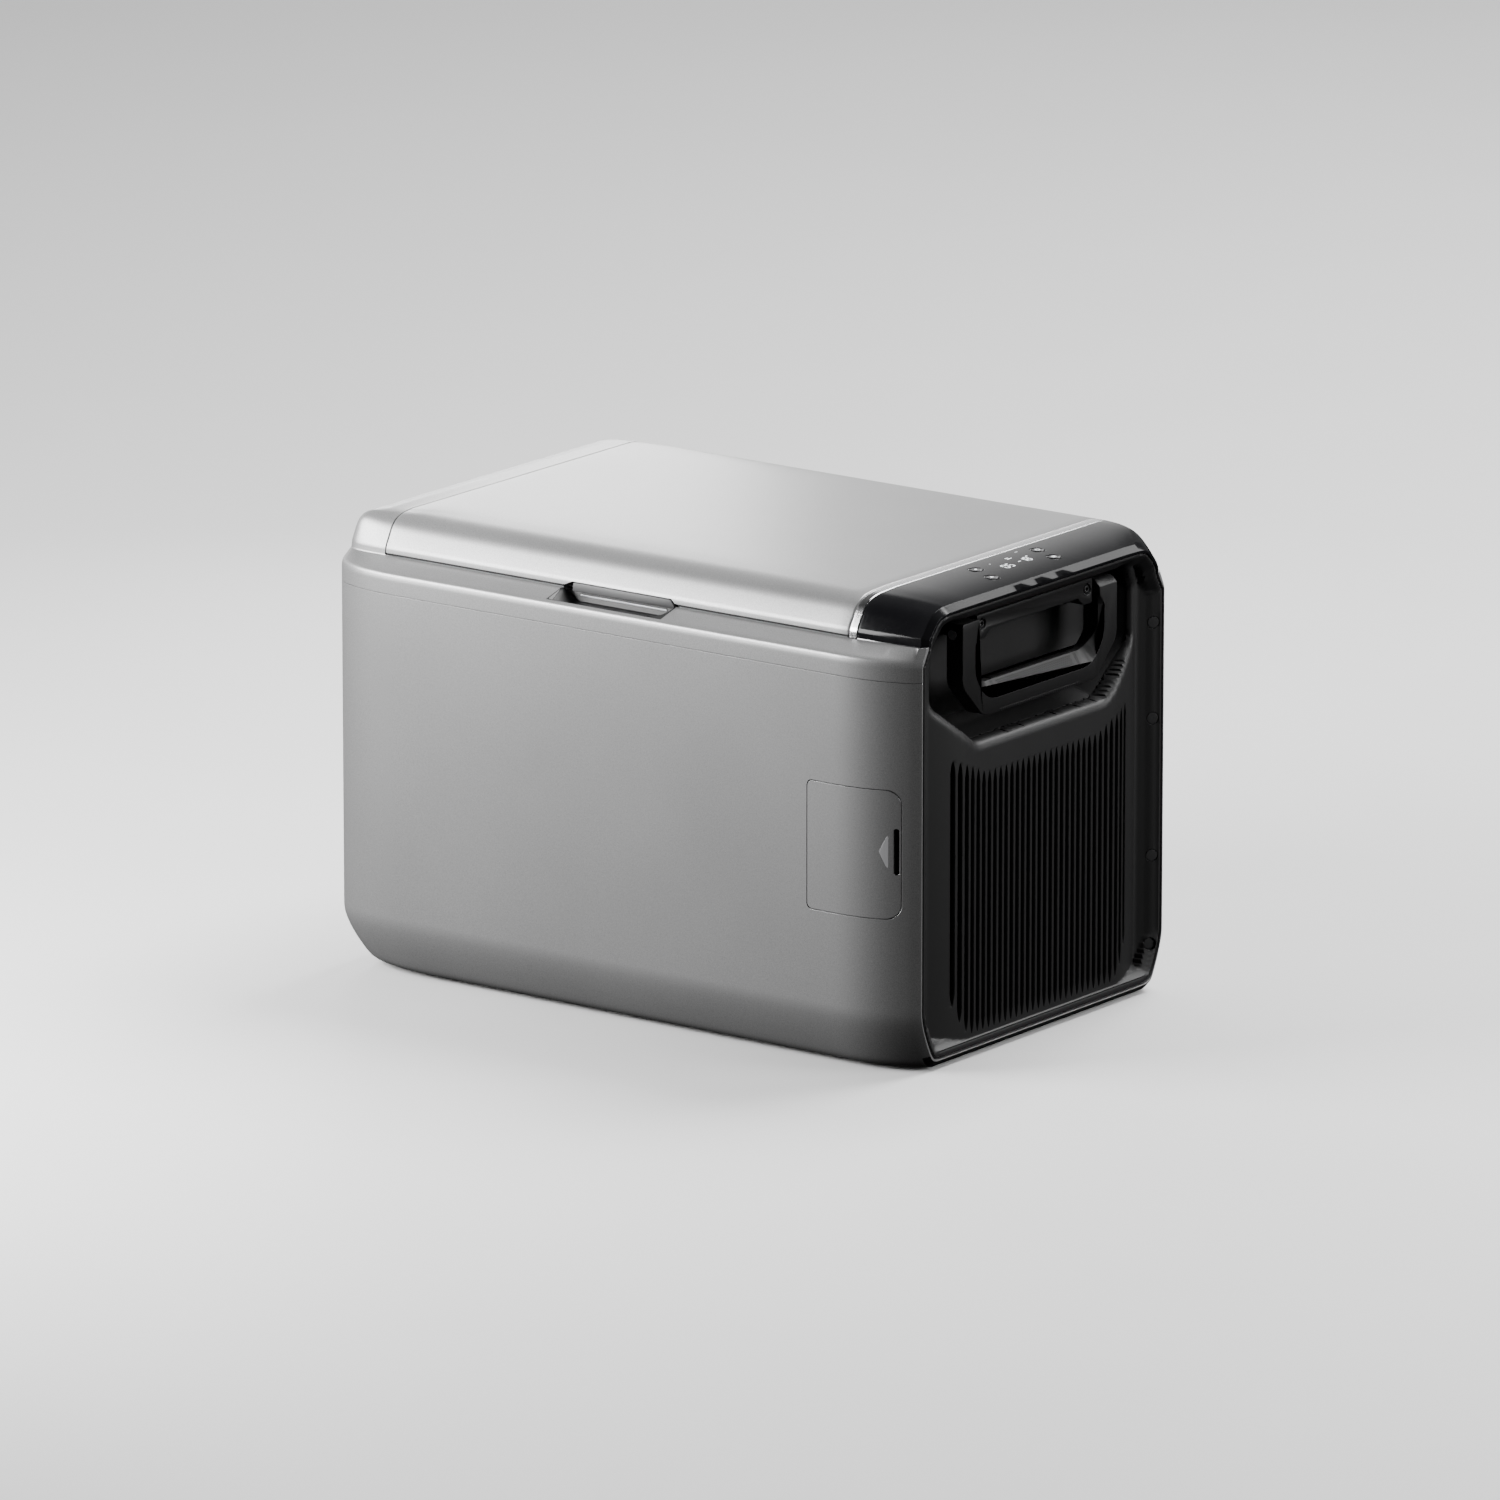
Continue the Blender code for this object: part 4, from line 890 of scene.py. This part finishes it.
def make_lid_seal_and_gap_shade():
    """A black strip behind the lid's front edge, partly the seal and partly painted shade, that shows as the
    dark line of the gap under the edge.
    """
    seal = block("lid_front_seal_and_gap_shade", (-251.6, 222.2), (-167.6, -163.0), (355.3, 359.4))
    cut(seal, block("latch_room", (-69, 50), (-175, -160), (350, 365)))
    make(smooth(seal), "lid", RUBBER)


def make_strip():
    strip = section_piece("bright_strip", STRIP_SPAN, SHELF + 0.02, 355.6, 2.0, 0.9)
    make(smooth(strip, 35), "housing", CHROME, ["chrome_strip"])


def make_panel():
    panel = section_piece("panel_cover", PANEL_SPAN, SHELF + 0.02, 355.9, 2.2, 0.6, True)
    for x, y in KEYS.values():
        cut_prism(panel, circle(x, y, 6.7, 40), "Z", 375, 400)
    make(smooth(panel, 35), "housing", GLOSS, ["control_panel"])


# ---- hatch
HATCH_AXIS = (196.0, -190.0)
THUMB_SLOT = ((279.0, 283.4), (168.0, 207.0))


def plan_band(out, into, start=199.0, end=290.0, step=2.2):
    """A band in plan that follows the front wall, from a distance outside it to one inside it."""
    count = round((end - start) / step)
    points = [wall_point(level(6.5), -1, start + (end - start) * i / count) for i in range(count + 1)]
    return [(p.x, p.y - out) for p in points] + [(p.x, p.y + into) for p in reversed(points)]


def make_hatch():
    door = prism("hatch_skin", plan_band(0.0, 2.7), "Z", 120, 250)
    combine("INTERSECT", door, prism("hatch_shape", hatch_outline(0.0), "Y", -215, -150))
    slot = rounded(rectangle(*THUMB_SLOT), 2.1, 6)
    cut_prism(door, slot, "Y", -205, -150)
    relief = [(200, -194.9), (201.1, -194.9), (202, -193.9), (202.7, -192.8), (203.3, -191), (200, -191)]
    cut_prism(door, relief, "Z", 120, 250)
    for i, low in enumerate((148.0, 216.0)):
        combine("UNION", door, hatch_arm(f"hatch_arm_{i}", low, low + 7.0))
    make(smooth(door, 30), "hatch", SILVER, ["hatch_door"])
    make_thumb_slot()
    sign = rounded([(268.0, 187.5), (275.4, 171.5), (275.4, 203.5)], 0.8, 3)
    arrow = prism("hatch_arrow", sign, "Y", -215, -150)
    combine("INTERSECT", arrow, prism("arrow_face", plan_band(0.04, 0.3), "Z", 120, 250))
    make(smooth(arrow), "hatch", ARROW)


def make_thumb_slot():
    """The lining of the finger slot: a rim, a wall that goes in and a dark floor."""
    x, z = THUMB_SLOT
    outline = rounded(rectangle((x[0] - 0.7, x[1] + 0.7), (z[0] - 0.7, z[1] + 0.7)), 2.8, 6)
    lining = prism("thumb_slot_lining", outline, "Y", -186.4, -176.0)
    inner = rounded(rectangle((x[0] + 0.5, x[1] - 0.5), (z[0] + 0.5, z[1] - 0.5)), 1.6, 6)
    cut_prism(lining, inner, "Y", -200, -178.5)
    combine("INTERSECT", lining, prism("lining_face", plan_band(-0.5, 8.0, 270.0, 292.0), "Z", 120, 250))
    make(smooth(lining), "hatch", SATIN_BLACK)


def hatch_arm(name, low, high):
    """A goose-neck arm from the pin, in behind the wall's edge, to the door's back."""
    x, y = HATCH_AXIS
    path = [(0, 0), (0, 4.6), (2.6, 8.2), (7.2, 8.6), (10.6, 5.2), (10.6, -3.0)]
    width = 0.95
    left, right = [], []
    for i, point in enumerate(path):
        along = (Vector(path[min(i + 1, len(path) - 1)]) - Vector(path[max(i - 1, 0)])).normalized()
        normal = Vector((-along.y, along.x))
        left.append(tuple(Vector(point) + normal * width))
        right.append(tuple(Vector(point) - normal * width))
    arm = prism(name, [(x + a, y + b) for a, b in left + right[::-1]], "Z", low, high)
    knuckle = prism(name + "_knuckle", circle(x, y, 2.05, 16), "Z", low, high)
    bore = prism(name + "_bore", circle(x, y, 1.08, 16), "Z", low - 2, high + 2)
    return cut(combine("UNION", arm, knuckle), bore)


ARROW = moulded_plastic("arrow_grey", (0.42, 0.42, 0.43), (0.45, 0.55), strength=0.05)


# ---- carry handles
def bevel_edges(obj, width, segments=2, angle=32):
    modifier = obj.modifiers.new("edges", "BEVEL")
    modifier.width = width * MM
    modifier.segments = segments
    modifier.limit_method = "ANGLE"
    modifier.angle_limit = math.radians(angle)
    modifier.harden_normals = False
    return smooth(obj, 38)


Bail = namedtuple("Bail", "side top back face body bar dip axis")
RIGHT_BAIL = Bail(1, 363.5, 277.0, 293.0, "right_handle", 13.0, 9.0, (283.5, 354.5))
LEFT_BAIL = Bail(-1, 356.5, 279.6, 293.2, "left_handle", 12.0, 7.0, (-285.0, 348.5))
EDGE_DEPTH, ROD_BORE = 1.2, 2.6
PIT_ROWS, PIT_PITCH, PIT_RADIUS, RIB_PITCH = 7, 2.7, 0.76, 2.6


def bail_rings(bail):
    """The bail's outline at its face and at the inner foot of the wide chamfer round its opening."""
    top = bail.top
    outer = [(79, top - 81.5), (108, top - 52), (108, top)]
    face = outer + [(84.0, top), (84.0, top - 12.5), (90.6, top - 20.5), (90.6, top - 46), (75.5, top - 69.5)]
    foot = outer + [(83.6, top), (83.6, top - 12.5), (84.4, top - 20.5), (84.4, top - 44),
                    (69.5, top - 69.5 + bail.bar)]
    face_radii, foot_radii = [14, 18, 2, 1.5, 3, 5, 28, 28], [14, 18, 2, 1.5, 3, 5, 19, 19]
    return [rounded(symmetric(shape), radii + radii[::-1], 8)
            for shape, radii in ((face, face_radii), (foot, foot_radii))]


def chamfer_depth(bail, z):
    """How far behind the face the chamfer's foot lies: shallow on the arms, deep along the bar."""
    share = smooth_step((bail.top - 36.0 - z) / 24.0)
    return 2.4 + (bail.dip - 2.4) * share


def make_bail(bail):
    face_ring, foot_ring = bail_rings(bail)
    rings = [[(bail.back, y, z) for y, z in foot_ring], [], [(bail.face, y, z) for y, z in face_ring]]
    for (y, z), face_point in zip(foot_ring, face_ring):
        depth = EDGE_DEPTH if (y, z) == face_point else chamfer_depth(bail, z)
        rings[1].append((bail.face - depth, y, z))
    rings = [[(bail.side * x, y, z) for x, y, z in ring] for ring in rings]
    handle = skin_solid(bail.body + "_bail", rings)
    edge, top, slope = bail.side * bail.face, bail.top, 5.6
    out = edge + bail.side
    wedge = [(edge - bail.side * slope, top + 0.01), (out, top + 0.01), (out, top - slope - 1)]
    cut_prism(handle, wedge, "Y", -130, 130)
    cut_prism(handle, circle(*bail.axis, ROD_BORE, 20), "Y", -130, 130)
    make(bevel_edges(handle, 0.7), bail.body, HANDLE_BLACK, [bail.body, bail.body + "_grip"])


def bar_slope(bail):
    """(x, z) at the chamfer's outer and inner edges along the middle of the bar."""
    foot_z = bail.top - 69.5
    depth = chamfer_depth(bail, foot_z + bail.bar)
    return Vector((bail.face, foot_z)), Vector((bail.face - depth, foot_z + bail.bar))


def make_bar_grip(bail):
    """Rows of near-black discs on the bar's chamfer, painted shade for small pits, near-black lines painted
    as shade at each end of them, and ribs above and below.
    """
    low, high = bar_slope(bail)
    run = high - low
    along, out = run.normalized(), Vector((run.y, -run.x)).normalized()
    dots = bmesh.new()
    for row in range(PIT_ROWS):
        middle = low + run * (0.16 + 0.70 * row / (PIT_ROWS - 1)) + out * 0.06
        for i in range(-19, 20):
            y = (i + 0.5 * (row % 2)) * PIT_PITCH
            if abs(y) < 52:
                add_disc(dots, bail.side, middle, along, out, y)
    # The discs are painted shade, standing for the dark inside the pits.
    make(finish_mesh(bail.body + "_grip_pit_shade", dots), bail.body, GRIP_SHADE)
    lines = bmesh.new()
    a, b = low + run * 0.04, low + run * 0.97
    outline = [(bail.side * p.x, p.y) for p in (a - out * 0.1, b - out * 0.1, b + out * 0.05, a + out * 0.05)]
    for end in (-1, 1):
        for y in (57.2, 59.0):
            add_loft(lines, [outline, outline], "Y", outward(end, y, y + 0.5))
    # The lines are painted shade too.
    make(finish_mesh(bail.body + "_grip_line_shade", lines), bail.body, GRIP_SHADE)
    make_bar_ribs(bail, high)


def add_disc(bm, side, middle, along, out, y):
    """A thin closed disc that lies on the bar's chamfer, as the painted shade of one pit."""
    rings = []
    for height in (-0.12, 0.0):
        spots = [(middle + along * b + out * height, y + a) for a, b in circle(0, 0, PIT_RADIUS, 8)]
        rings.append([(side * spot.x, where, spot.y) for spot, where in spots])
    add_skin(bm, rings)


def make_bar_ribs(bail, high):
    ribs = bmesh.new()
    for i in range(-21, 22):
        y = i * RIB_PITCH
        x = outward(bail.side, bail.face - 2.0, bail.face + 0.25)
        add_box(ribs, x, (y - 0.6, y + 0.6), (bail.top - 81.9, bail.top - 79.6))
        x = outward(bail.side, bail.back + 0.4, high.x - 0.8)
        add_box(ribs, x, (y - 0.65, y + 0.65), (high.y - 0.5, high.y + 0.7))
    make(finish_mesh(bail.body + "_bar_ribs", ribs), bail.body, HANDLE_BLACK)


def add_box(bm, x, y, z):
    add_loft(bm, [rectangle(x, y)] * 2, "Z", z)


# Near-black painted shade for the grip's pits and lines, darker than the handle's own black.
GRIP_SHADE = moulded_plastic("grip_painted_shade", (0.004, 0.004, 0.004), (0.8, 0.9), strength=0.1)


def make_bracket(bail, x, top, back):
    """The cross bar behind the bail's heads, with a screw boss in the block at each end."""
    prefix, side, face = bail.body.split("_")[0], bail.side, x[1]
    half = [(60.5, top - 13.5), (69.0, top - 20.5), (80.6, top - 20.5), (80.6, top)]
    outline = rounded(symmetric(half), [3, 3, 1.5, 1.2, 1.2, 1.5, 3, 3], 4)
    bar = prism(prefix + "_cross_bar", outline, "X", *outward(side, *x))
    spots = {"front": (-73.6, top - 8.2), "rear": (73.6, top - 8.2)}
    for spot in spots.values():
        cut_prism(bar, circle(*spot, 5.2, 28), "X", *outward(side, face - 2.6, face + 1.0))
    cut_prism(bar, circle(*bail.axis, ROD_BORE, 20), "Y", -90, 90)
    for end in (-1, 1):
        leg = block("leg", outward(side, back, x[0] + 0.5), outward(end, 62.0, 80.6), (top - 20.5, top))
        combine("UNION", bar, leg)
    make(bevel_edges(bar, 0.8), "housing", HANDLE_BLACK, [bail.body + "_bracket"])
    for where, spot in spots.items():
        depth = outward(side, face - 2.8, face - 0.3)
        boss = prism(f"{prefix}_screw_boss_{where}", circle(*spot, 3.3, 24), "X", *depth)
        cut_prism(boss, circle(*spot, 1.7, 20), "X", *outward(side, face - 2.0, face + 1.0))
        make(bevel_edges(boss, 0.4), "housing", HANDLE_BLACK)


def make_handles():
    for bail in (RIGHT_BAIL, LEFT_BAIL):
        make_bail(bail)
        make_bar_grip(bail)
    make_bracket(RIGHT_BAIL, (272.0, 287.4), 365.2, 250.6)
    make_bracket(LEFT_BAIL, (274.5, 288.4), 358.0, 272.9)


# ---- latch
def scoop_depth(x, y):
    """Depth of the finger scoop as a share: a long ramp at its left end and a round wall at its right."""
    left = smooth_step((x + 67.5) / 15.0)
    bow = ((y + 174.0) / 17.0) ** 2
    right = smooth_step((47.5 - 9.0 * bow - x) / 4.5)
    front = smooth_step((y + 190.4) / 3.2)
    rear = smooth_step((-161.6 - y) / 2.6)
    return left * right * front * rear


def make_scoop():
    """The black scoop in the shelf, as a surface that dips in from the shelf."""
    ys = [-190.9 + 0.8 * i for i in range(12)] + [-181.0 + 2.0 * i for i in range(8)]
    ys += [-165.8 + 0.8 * i for i in range(7)]
    xs = [-68.4 + 1.0 * i for i in range(24)] + [-42 + 5.0 * i for i in range(15)]
    xs += [30 + 0.8 * i for i in range(25)]
    ridge, shelf = LEVELS[RIDGE], LEVELS[SHELF]
    bm = bmesh.new()
    rows = []
    for y in ys:
        slope_z = ridge.z + (shelf.z - ridge.z) * (y + ridge.front) / (ridge.front - shelf.front)
        top = min(slope_z, 351.6 if y > -167.5 else 354.6) + 0.03
        floor = 343.2 + 0.8 * smooth_step((y + 172) / 6.0)
        rows.append([bm.verts.new((x, y, top + (floor - top) * scoop_depth(x, y))) for x in xs])
    grid_faces(bm, rows)
    bmesh.ops.recalc_face_normals(bm, faces=bm.faces)
    if sum(f.normal.z for f in bm.faces) < 0:
        bmesh.ops.reverse_faces(bm, faces=bm.faces)
    scoop = solidify(sheet_mesh("finger_scoop", bm), 1.2, 40)
    make(scoop, "housing", SATIN_BLACK, ["latch_cup"])


def make_latch_face():
    """The visible pull, which fills the notch in the lid's lip."""
    tip = [(46.6, 355.2), (42.4, 360.2), (-57.0, 360.2)]
    face, back = ([(-58.0, z), (46.6, z)] + tip for z in (353.2, 352.6))
    plate = loft("latch_pull_face", [face, back], "Y", (-168.9, -166.9))
    make(bevel_edges(plate, 0.5), "latch", DARK_GREY, ["lid_latch"])
    stem = block("latch_pull_stem", (-55.0, 42.0), (-167.0, -160.2), (353.6, 358.4))
    make(bevel_edges(stem, 0.4), "latch", SATIN_BLACK)


# ---- wire basket
def add_tube(bm, points, radius, closed=False, sides=8):
    """A round wire along a path, with its ends filled unless the path is closed."""
    count = len(points)
    rings = []
    for i, point in enumerate(points):
        before = points[i - 1] if closed or i > 0 else point
        after = points[(i + 1) % count] if closed or i < count - 1 else point
        along = (after - before).normalized()
        side = along.cross(Vector((0, 0, 1)) if abs(along.z) < 0.7 else Vector((1, 0, 0))).normalized()
        if rings and side.dot(last_side) < 0:
            side = -side
        last_side = side
        up = along.cross(side)
        turns = [2 * math.pi * k / sides for k in range(sides)]
        rings.append([bm.verts.new(point + radius * (side * math.cos(t) + up * math.sin(t))) for t in turns])
    pairs = list(zip(rings, rings[1:])) + ([(rings[-1], rings[0])] if closed else [])
    for low, high in pairs:
        shift = min(range(sides), key=lambda k: (high[k].co - low[0].co).length)
        next_gap, last_gap = ((high[(shift + k) % sides].co - low[1].co).length for k in (1, -1))
        step = 1 if next_gap < last_gap else -1
        for k in range(sides):
            a, b = (shift + step * k) % sides, (shift + step * (k + 1)) % sides
            bm.faces.new((low[k], low[(k + 1) % sides], high[b], high[a]))
    if not closed:
        bm.faces.new(rings[0])
        bm.faces.new(rings[-1])


def hoop(x, y, z, radius=14.0):
    return [Vector((a, b, z)) for a, b in rounded(rectangle(x, y), radius, 6)]


def make_basket():
    low, high = (Vector(corner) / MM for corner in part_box("storage_basket"))
    x, y = (low.x + 2.2, high.x - 2.2), (low.y + 2.2, high.y - 2.2)
    floor_z, rim_z = low.z + 1.8, high.z - 2.2
    bm = bmesh.new()
    add_tube(bm, hoop(x, y, rim_z), 2.1, True)
    for i in range(6):
        add_tube(bm, hoop(x, y, floor_z + 2.6 + (rim_z - floor_z) * i / 6.2), 1.3, True)
    for axis, count, along, across, foot in (("X", 12, x, y, floor_z), ("Y", 10, y, x, floor_z + 2.4)):
        sides = (across[0] + 2.2, across[1] - 2.2)
        corners = [(sides[0], rim_z), (sides[0], foot), (sides[1], foot), (sides[1], rim_z)]
        path = rounded(corners, [0, 8, 8, 0], 5)
        for i in range(count):
            where = along[0] + 18 + (along[1] - along[0] - 36) * i / (count - 1)
            add_tube(bm, [Vector(AXES[axis](a, b, where)) for a, b in path], 1.3)
    make(smooth(finish_mesh("wire_basket", bm), 40), "housing", WIRE, ["storage_basket"])


# ---- panel signs
def panel_z(x):
    """The panel's height on its middle line."""
    return wall_point(level(TOP), -1, x).z


SEGMENTS = {"0": "abcdef", "1": "bc", "5": "acdfg", "8": "abcdefg", "-": "g"}
# Where a segment lies, in half widths across and half heights up, and whether it stands upright.
SEGMENT_PLACES = {"a": (0, 1, False), "g": (0, 0, False), "d": (0, -1, False), "f": (-1, 0.5, True),
                  "b": (1, 0.5, True), "e": (-1, -0.5, True), "c": (1, -0.5, True)}
DIGITS = (("0", 260.5, -4.0), ("5", 260.5, 2.6), ("-", 259.3, 17.4), ("1", 259.3, 22.6), ("8", 259.3, 28.6))
DISPLAY_BARS = (((253.4, 254.6), (33.0, 35.4)), ((248.2, 249.2), (15.0, 21.0)),
                ((245.8, 246.8), (15.0, 19.0)))
SIGN_LIFT, KEY_SIGN_LIFT, SIGN_THICKNESS = 0.01, 0.2, 0.08


def digit_bars(mark, x, y, half_width=2.1, half_height=4.0, stroke=0.95):
    """The bars of a seven-segment digit, read by someone who stands at the grille end's side."""
    bars = []
    for segment in SEGMENTS[mark]:
        across, up, upright = SEGMENT_PLACES[segment]
        size = (stroke / 2, half_height / 2 - 0.5) if upright else (half_width - 0.5, stroke / 2)
        a, b = x - up * half_height, y + across * half_width
        bars.append(rectangle((a - size[1], a + size[1]), (b - size[0], b + size[0])))
    return bars


def ring_bars(x, y, radius, stroke, turn, steps=18):
    """An open ring as short bars, from -turn to turn."""
    stops = [turn * (2 * k / steps - 1) for k in range(steps + 1)]
    return [[(x + r * math.cos(t), y + r * math.sin(t))
             for r, t in ((radius, a), (radius + stroke, a), (radius + stroke, b), (radius, b))]
            for a, b in zip(stops, stops[1:])]


def key_sign(body, x, y):
    """Plain signs: a dot for down, an arrow for up, a power ring and three bars for the mode."""
    if body == "down_key":
        return [circle(x, y, 1.15, 14)]
    if body == "up_key":
        return [[(x - 1.6, y), (x + 1.1, y - 1.7), (x + 1.1, y + 1.7)]]
    if body == "power_key":
        stem = rectangle((x - 2.6, x - 0.6), (y - 0.28, y + 0.28))
        return ring_bars(x, y, 1.7, 0.5, math.radians(145)) + [stem]
    return [rectangle((x - 1.6, x + 1.6), (y + i * 1.5 - 0.35, y + i * 1.5 + 0.35)) for i in (-1, 0, 1)]


def make_sign(name, body, look, outlines, lift=SIGN_LIFT):
    """Flat signs on the panel, each given as (x, y) points."""
    bm = bmesh.new()
    for outline in outlines:
        add_skin(bm, [[(x, y, panel_z(x) + z) for x, y in outline] for z in (lift, lift + SIGN_THICKNESS)])
    make(finish_mesh(name, bm), body, look)


def make_signs():
    digits = [bar for digit in DIGITS for bar in digit_bars(*digit)]
    bars = [rectangle(*bar) for bar in DISPLAY_BARS]
    make_sign("display_digits", "housing", SIGN, digits + bars)
    faint = [[(246.4, -8.2), (248.6, -7.4), (246.8, -6.2)], rectangle((239.6, 241.0), (37.6, 40.6))]
    make_sign("display_marks", "housing", SIGN_DIM, faint)
    for body, (x, y) in KEYS.items():
        make_sign(body + "_sign", body, SIGN, key_sign(body, x, y), KEY_SIGN_LIFT)


# ---- carried-over CAD nodes
NODE_LOOKS = {
    SATIN_BLACK: "right_end_cover right_handle_pocket left_handle_pocket latch_cup power_inlet battery_bay"
                 " fan_housing fan_rotor lid_latch",
    HANDLE_BLACK: "right_handle left_handle right_handle_bracket left_handle_bracket battery_pack",
    GLOSS: "button_down button_up button_power button_mode",
    STEEL: "latch_keeper hinge_bracket_left hinge_bracket_right hinge_leaf_left hinge_leaf_right"
           " hinge_pin_left hinge_pin_right hatch_pin right_handle_rod left_handle_rod base_plate",
    ALUMINIUM: "condenser evaporator",
    LINER: "tub_liner lid_liner tub_lamp",
    RUBBER: "foot_1 foot_2 foot_3 foot_4 lid_gasket compressor_mount_front compressor_mount_rear"
            " right_handle_grip left_handle_grip screw_cap_rear_1 screw_cap_rear_2 screw_cap_rear_3"
            " screw_cap_rear_4",
    FOAM: "foam_jacket lid_foam",
    BOARD: "control_board power_board",
    ENAMEL: "compressor",
    WIRE: "storage_basket",
    SILVER: "hatch_door",
}


def dress_nodes():
    for look, names in NODE_LOOKS.items():
        for name in names.split():
            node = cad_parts[name]
            node.data.materials.clear()
            node.data.materials.append(look)
            for polygon in node.data.polygons:
                polygon.material_index = 0


# ---- studio
def stage_material(name, colour):
    graph = new_look(name)
    return graph.connect(Base_Color=ramp(graph, noise(graph, 2.0, 3.0), shaded(colour, 0.985), colour),
                         Roughness=ramp(graph, noise(graph, 5.0), 0.55, 0.62))


def add_floor():
    bm = bmesh.new()
    bmesh.ops.create_grid(bm, x_segments=1, y_segments=1, size=40000.0)
    floor = sheet_mesh("floor", bm)
    floor.location.z = -0.0005
    floor.data.materials.append(stage_material("pale_floor", (0.88, 0.88, 0.88)))
    floor.visible_glossy = False
    floor.visible_diffuse = False


def add_area(name, place, target, size, power, visible=True):
    light = bpy.data.lights.new(name, "AREA")
    light.shape = "RECTANGLE"
    light.size, light.size_y = size
    light.energy = power
    obj = link(bpy.data.objects.new(name, light))
    obj.location = place
    direction = Vector(target) - Vector(place)
    obj.rotation_euler = direction.to_track_quat("-Z", "Y").to_euler()
    obj.visible_camera = visible


def add_world():
    """A studio that is bright near the horizon behind and to the left, and dark above and to the right."""
    bpy.context.scene.world = bpy.data.worlds.new("studio")
    graph = Graph(bpy.context.scene.world, "Background")
    place = graph.add("ShaderNodeTexCoord").outputs["Generated"]
    split = graph.add("ShaderNodeSeparateXYZ", links={"Vector": place}).outputs
    height = ramp(graph, split["Z"], 0.05, 1.0, (0.0, 0.02), ((0.30, 1.0), (0.46, 0.10)))
    share = graph.add("ShaderNodeMath", {"operation": "MULTIPLY_ADD", 1: 0.5, 2: 0.5}, {0: split["X"]})
    across = ramp(graph, share.outputs["Value"], 1.0, 0.10, (0.208, 0.258))
    front = graph.add("ShaderNodeMapRange", {"From Min": -0.15, "From Max": 0.35, "To Min": 0.25},
                      {"Value": split["Y"]})
    power = graph.add("ShaderNodeMath", {"operation": "MULTIPLY", 1: 1.55}, {0: front.outputs["Result"]})
    graph.connect(Color=multiply(graph, height, across), Strength=power.outputs["Value"])


def add_lights():
    add_world()
    add_area("key", (-0.97, -1.12, 0.78), (-0.24, 0, 0.25), (1.1, 0.9), 60)
    add_area("back", (1.25, 2.45, 1.95), (0.28, 0, 0.36), (1.5, 0.7), 15)
    add_area("back_left", (-1.05, 1.0, 0.72), (-0.2, 0, 0.38), (0.5, 0.4), 5, visible=False)
    add_area("right_fill", (2.4, 0.9, 1.1), (0, 0, 0.2), (1.2, 1.2), 46)
    add_area("overhead", (0.5, 2.8, 4.5), (0, 0, 0), (3.0, 3.0), 460)


# The picture's width is FRAME_UNITS units, each UNIT metres at the object, seen from VIEW_UNITS away.
VIEW_AZIMUTH, VIEW_ELEVATION = math.radians(36.67), math.radians(14.39)
UNIT, FRAME_UNITS, VIEW_UNITS = 0.00083, 1500.0, 13770.0
AIM_HEIGHT, AIM_LEFT, AIM_UP = 230.0, 1.99, 1.72
SENSOR = 36.0


def add_camera():
    sa, ca = math.sin(VIEW_AZIMUTH), math.cos(VIEW_AZIMUTH)
    se, ce = math.sin(VIEW_ELEVATION), math.cos(VIEW_ELEVATION)
    right = Vector((ca, sa, 0))
    forward = Vector((-sa * ce, ca * ce, -se))
    up = right.cross(forward)
    middle = Vector((0, 0, AIM_HEIGHT * UNIT)) - right * AIM_LEFT * UNIT + up * AIM_UP * UNIT
    data = bpy.data.cameras.new("camera")
    data.sensor_width = SENSOR
    data.lens = VIEW_UNITS * SENSOR / FRAME_UNITS
    data.clip_end = 200.0
    camera = link(bpy.data.objects.new("camera", data))
    camera.location = middle - forward * VIEW_UNITS * UNIT
    camera.rotation_euler = forward.to_track_quat("-Z", "Y").to_euler()
    bpy.context.scene.camera = camera


add_camera()
add_floor()
add_lights()
dress_nodes()
make_lower_shell()
make_top_frame()
make_lid()
make_lid_seal_and_gap_shade()
make_strip()
make_panel()
make_hatch()
make_end_cover()
make_caps()
make_handles()
make_scoop()
make_latch_face()
make_signs()
make_basket()
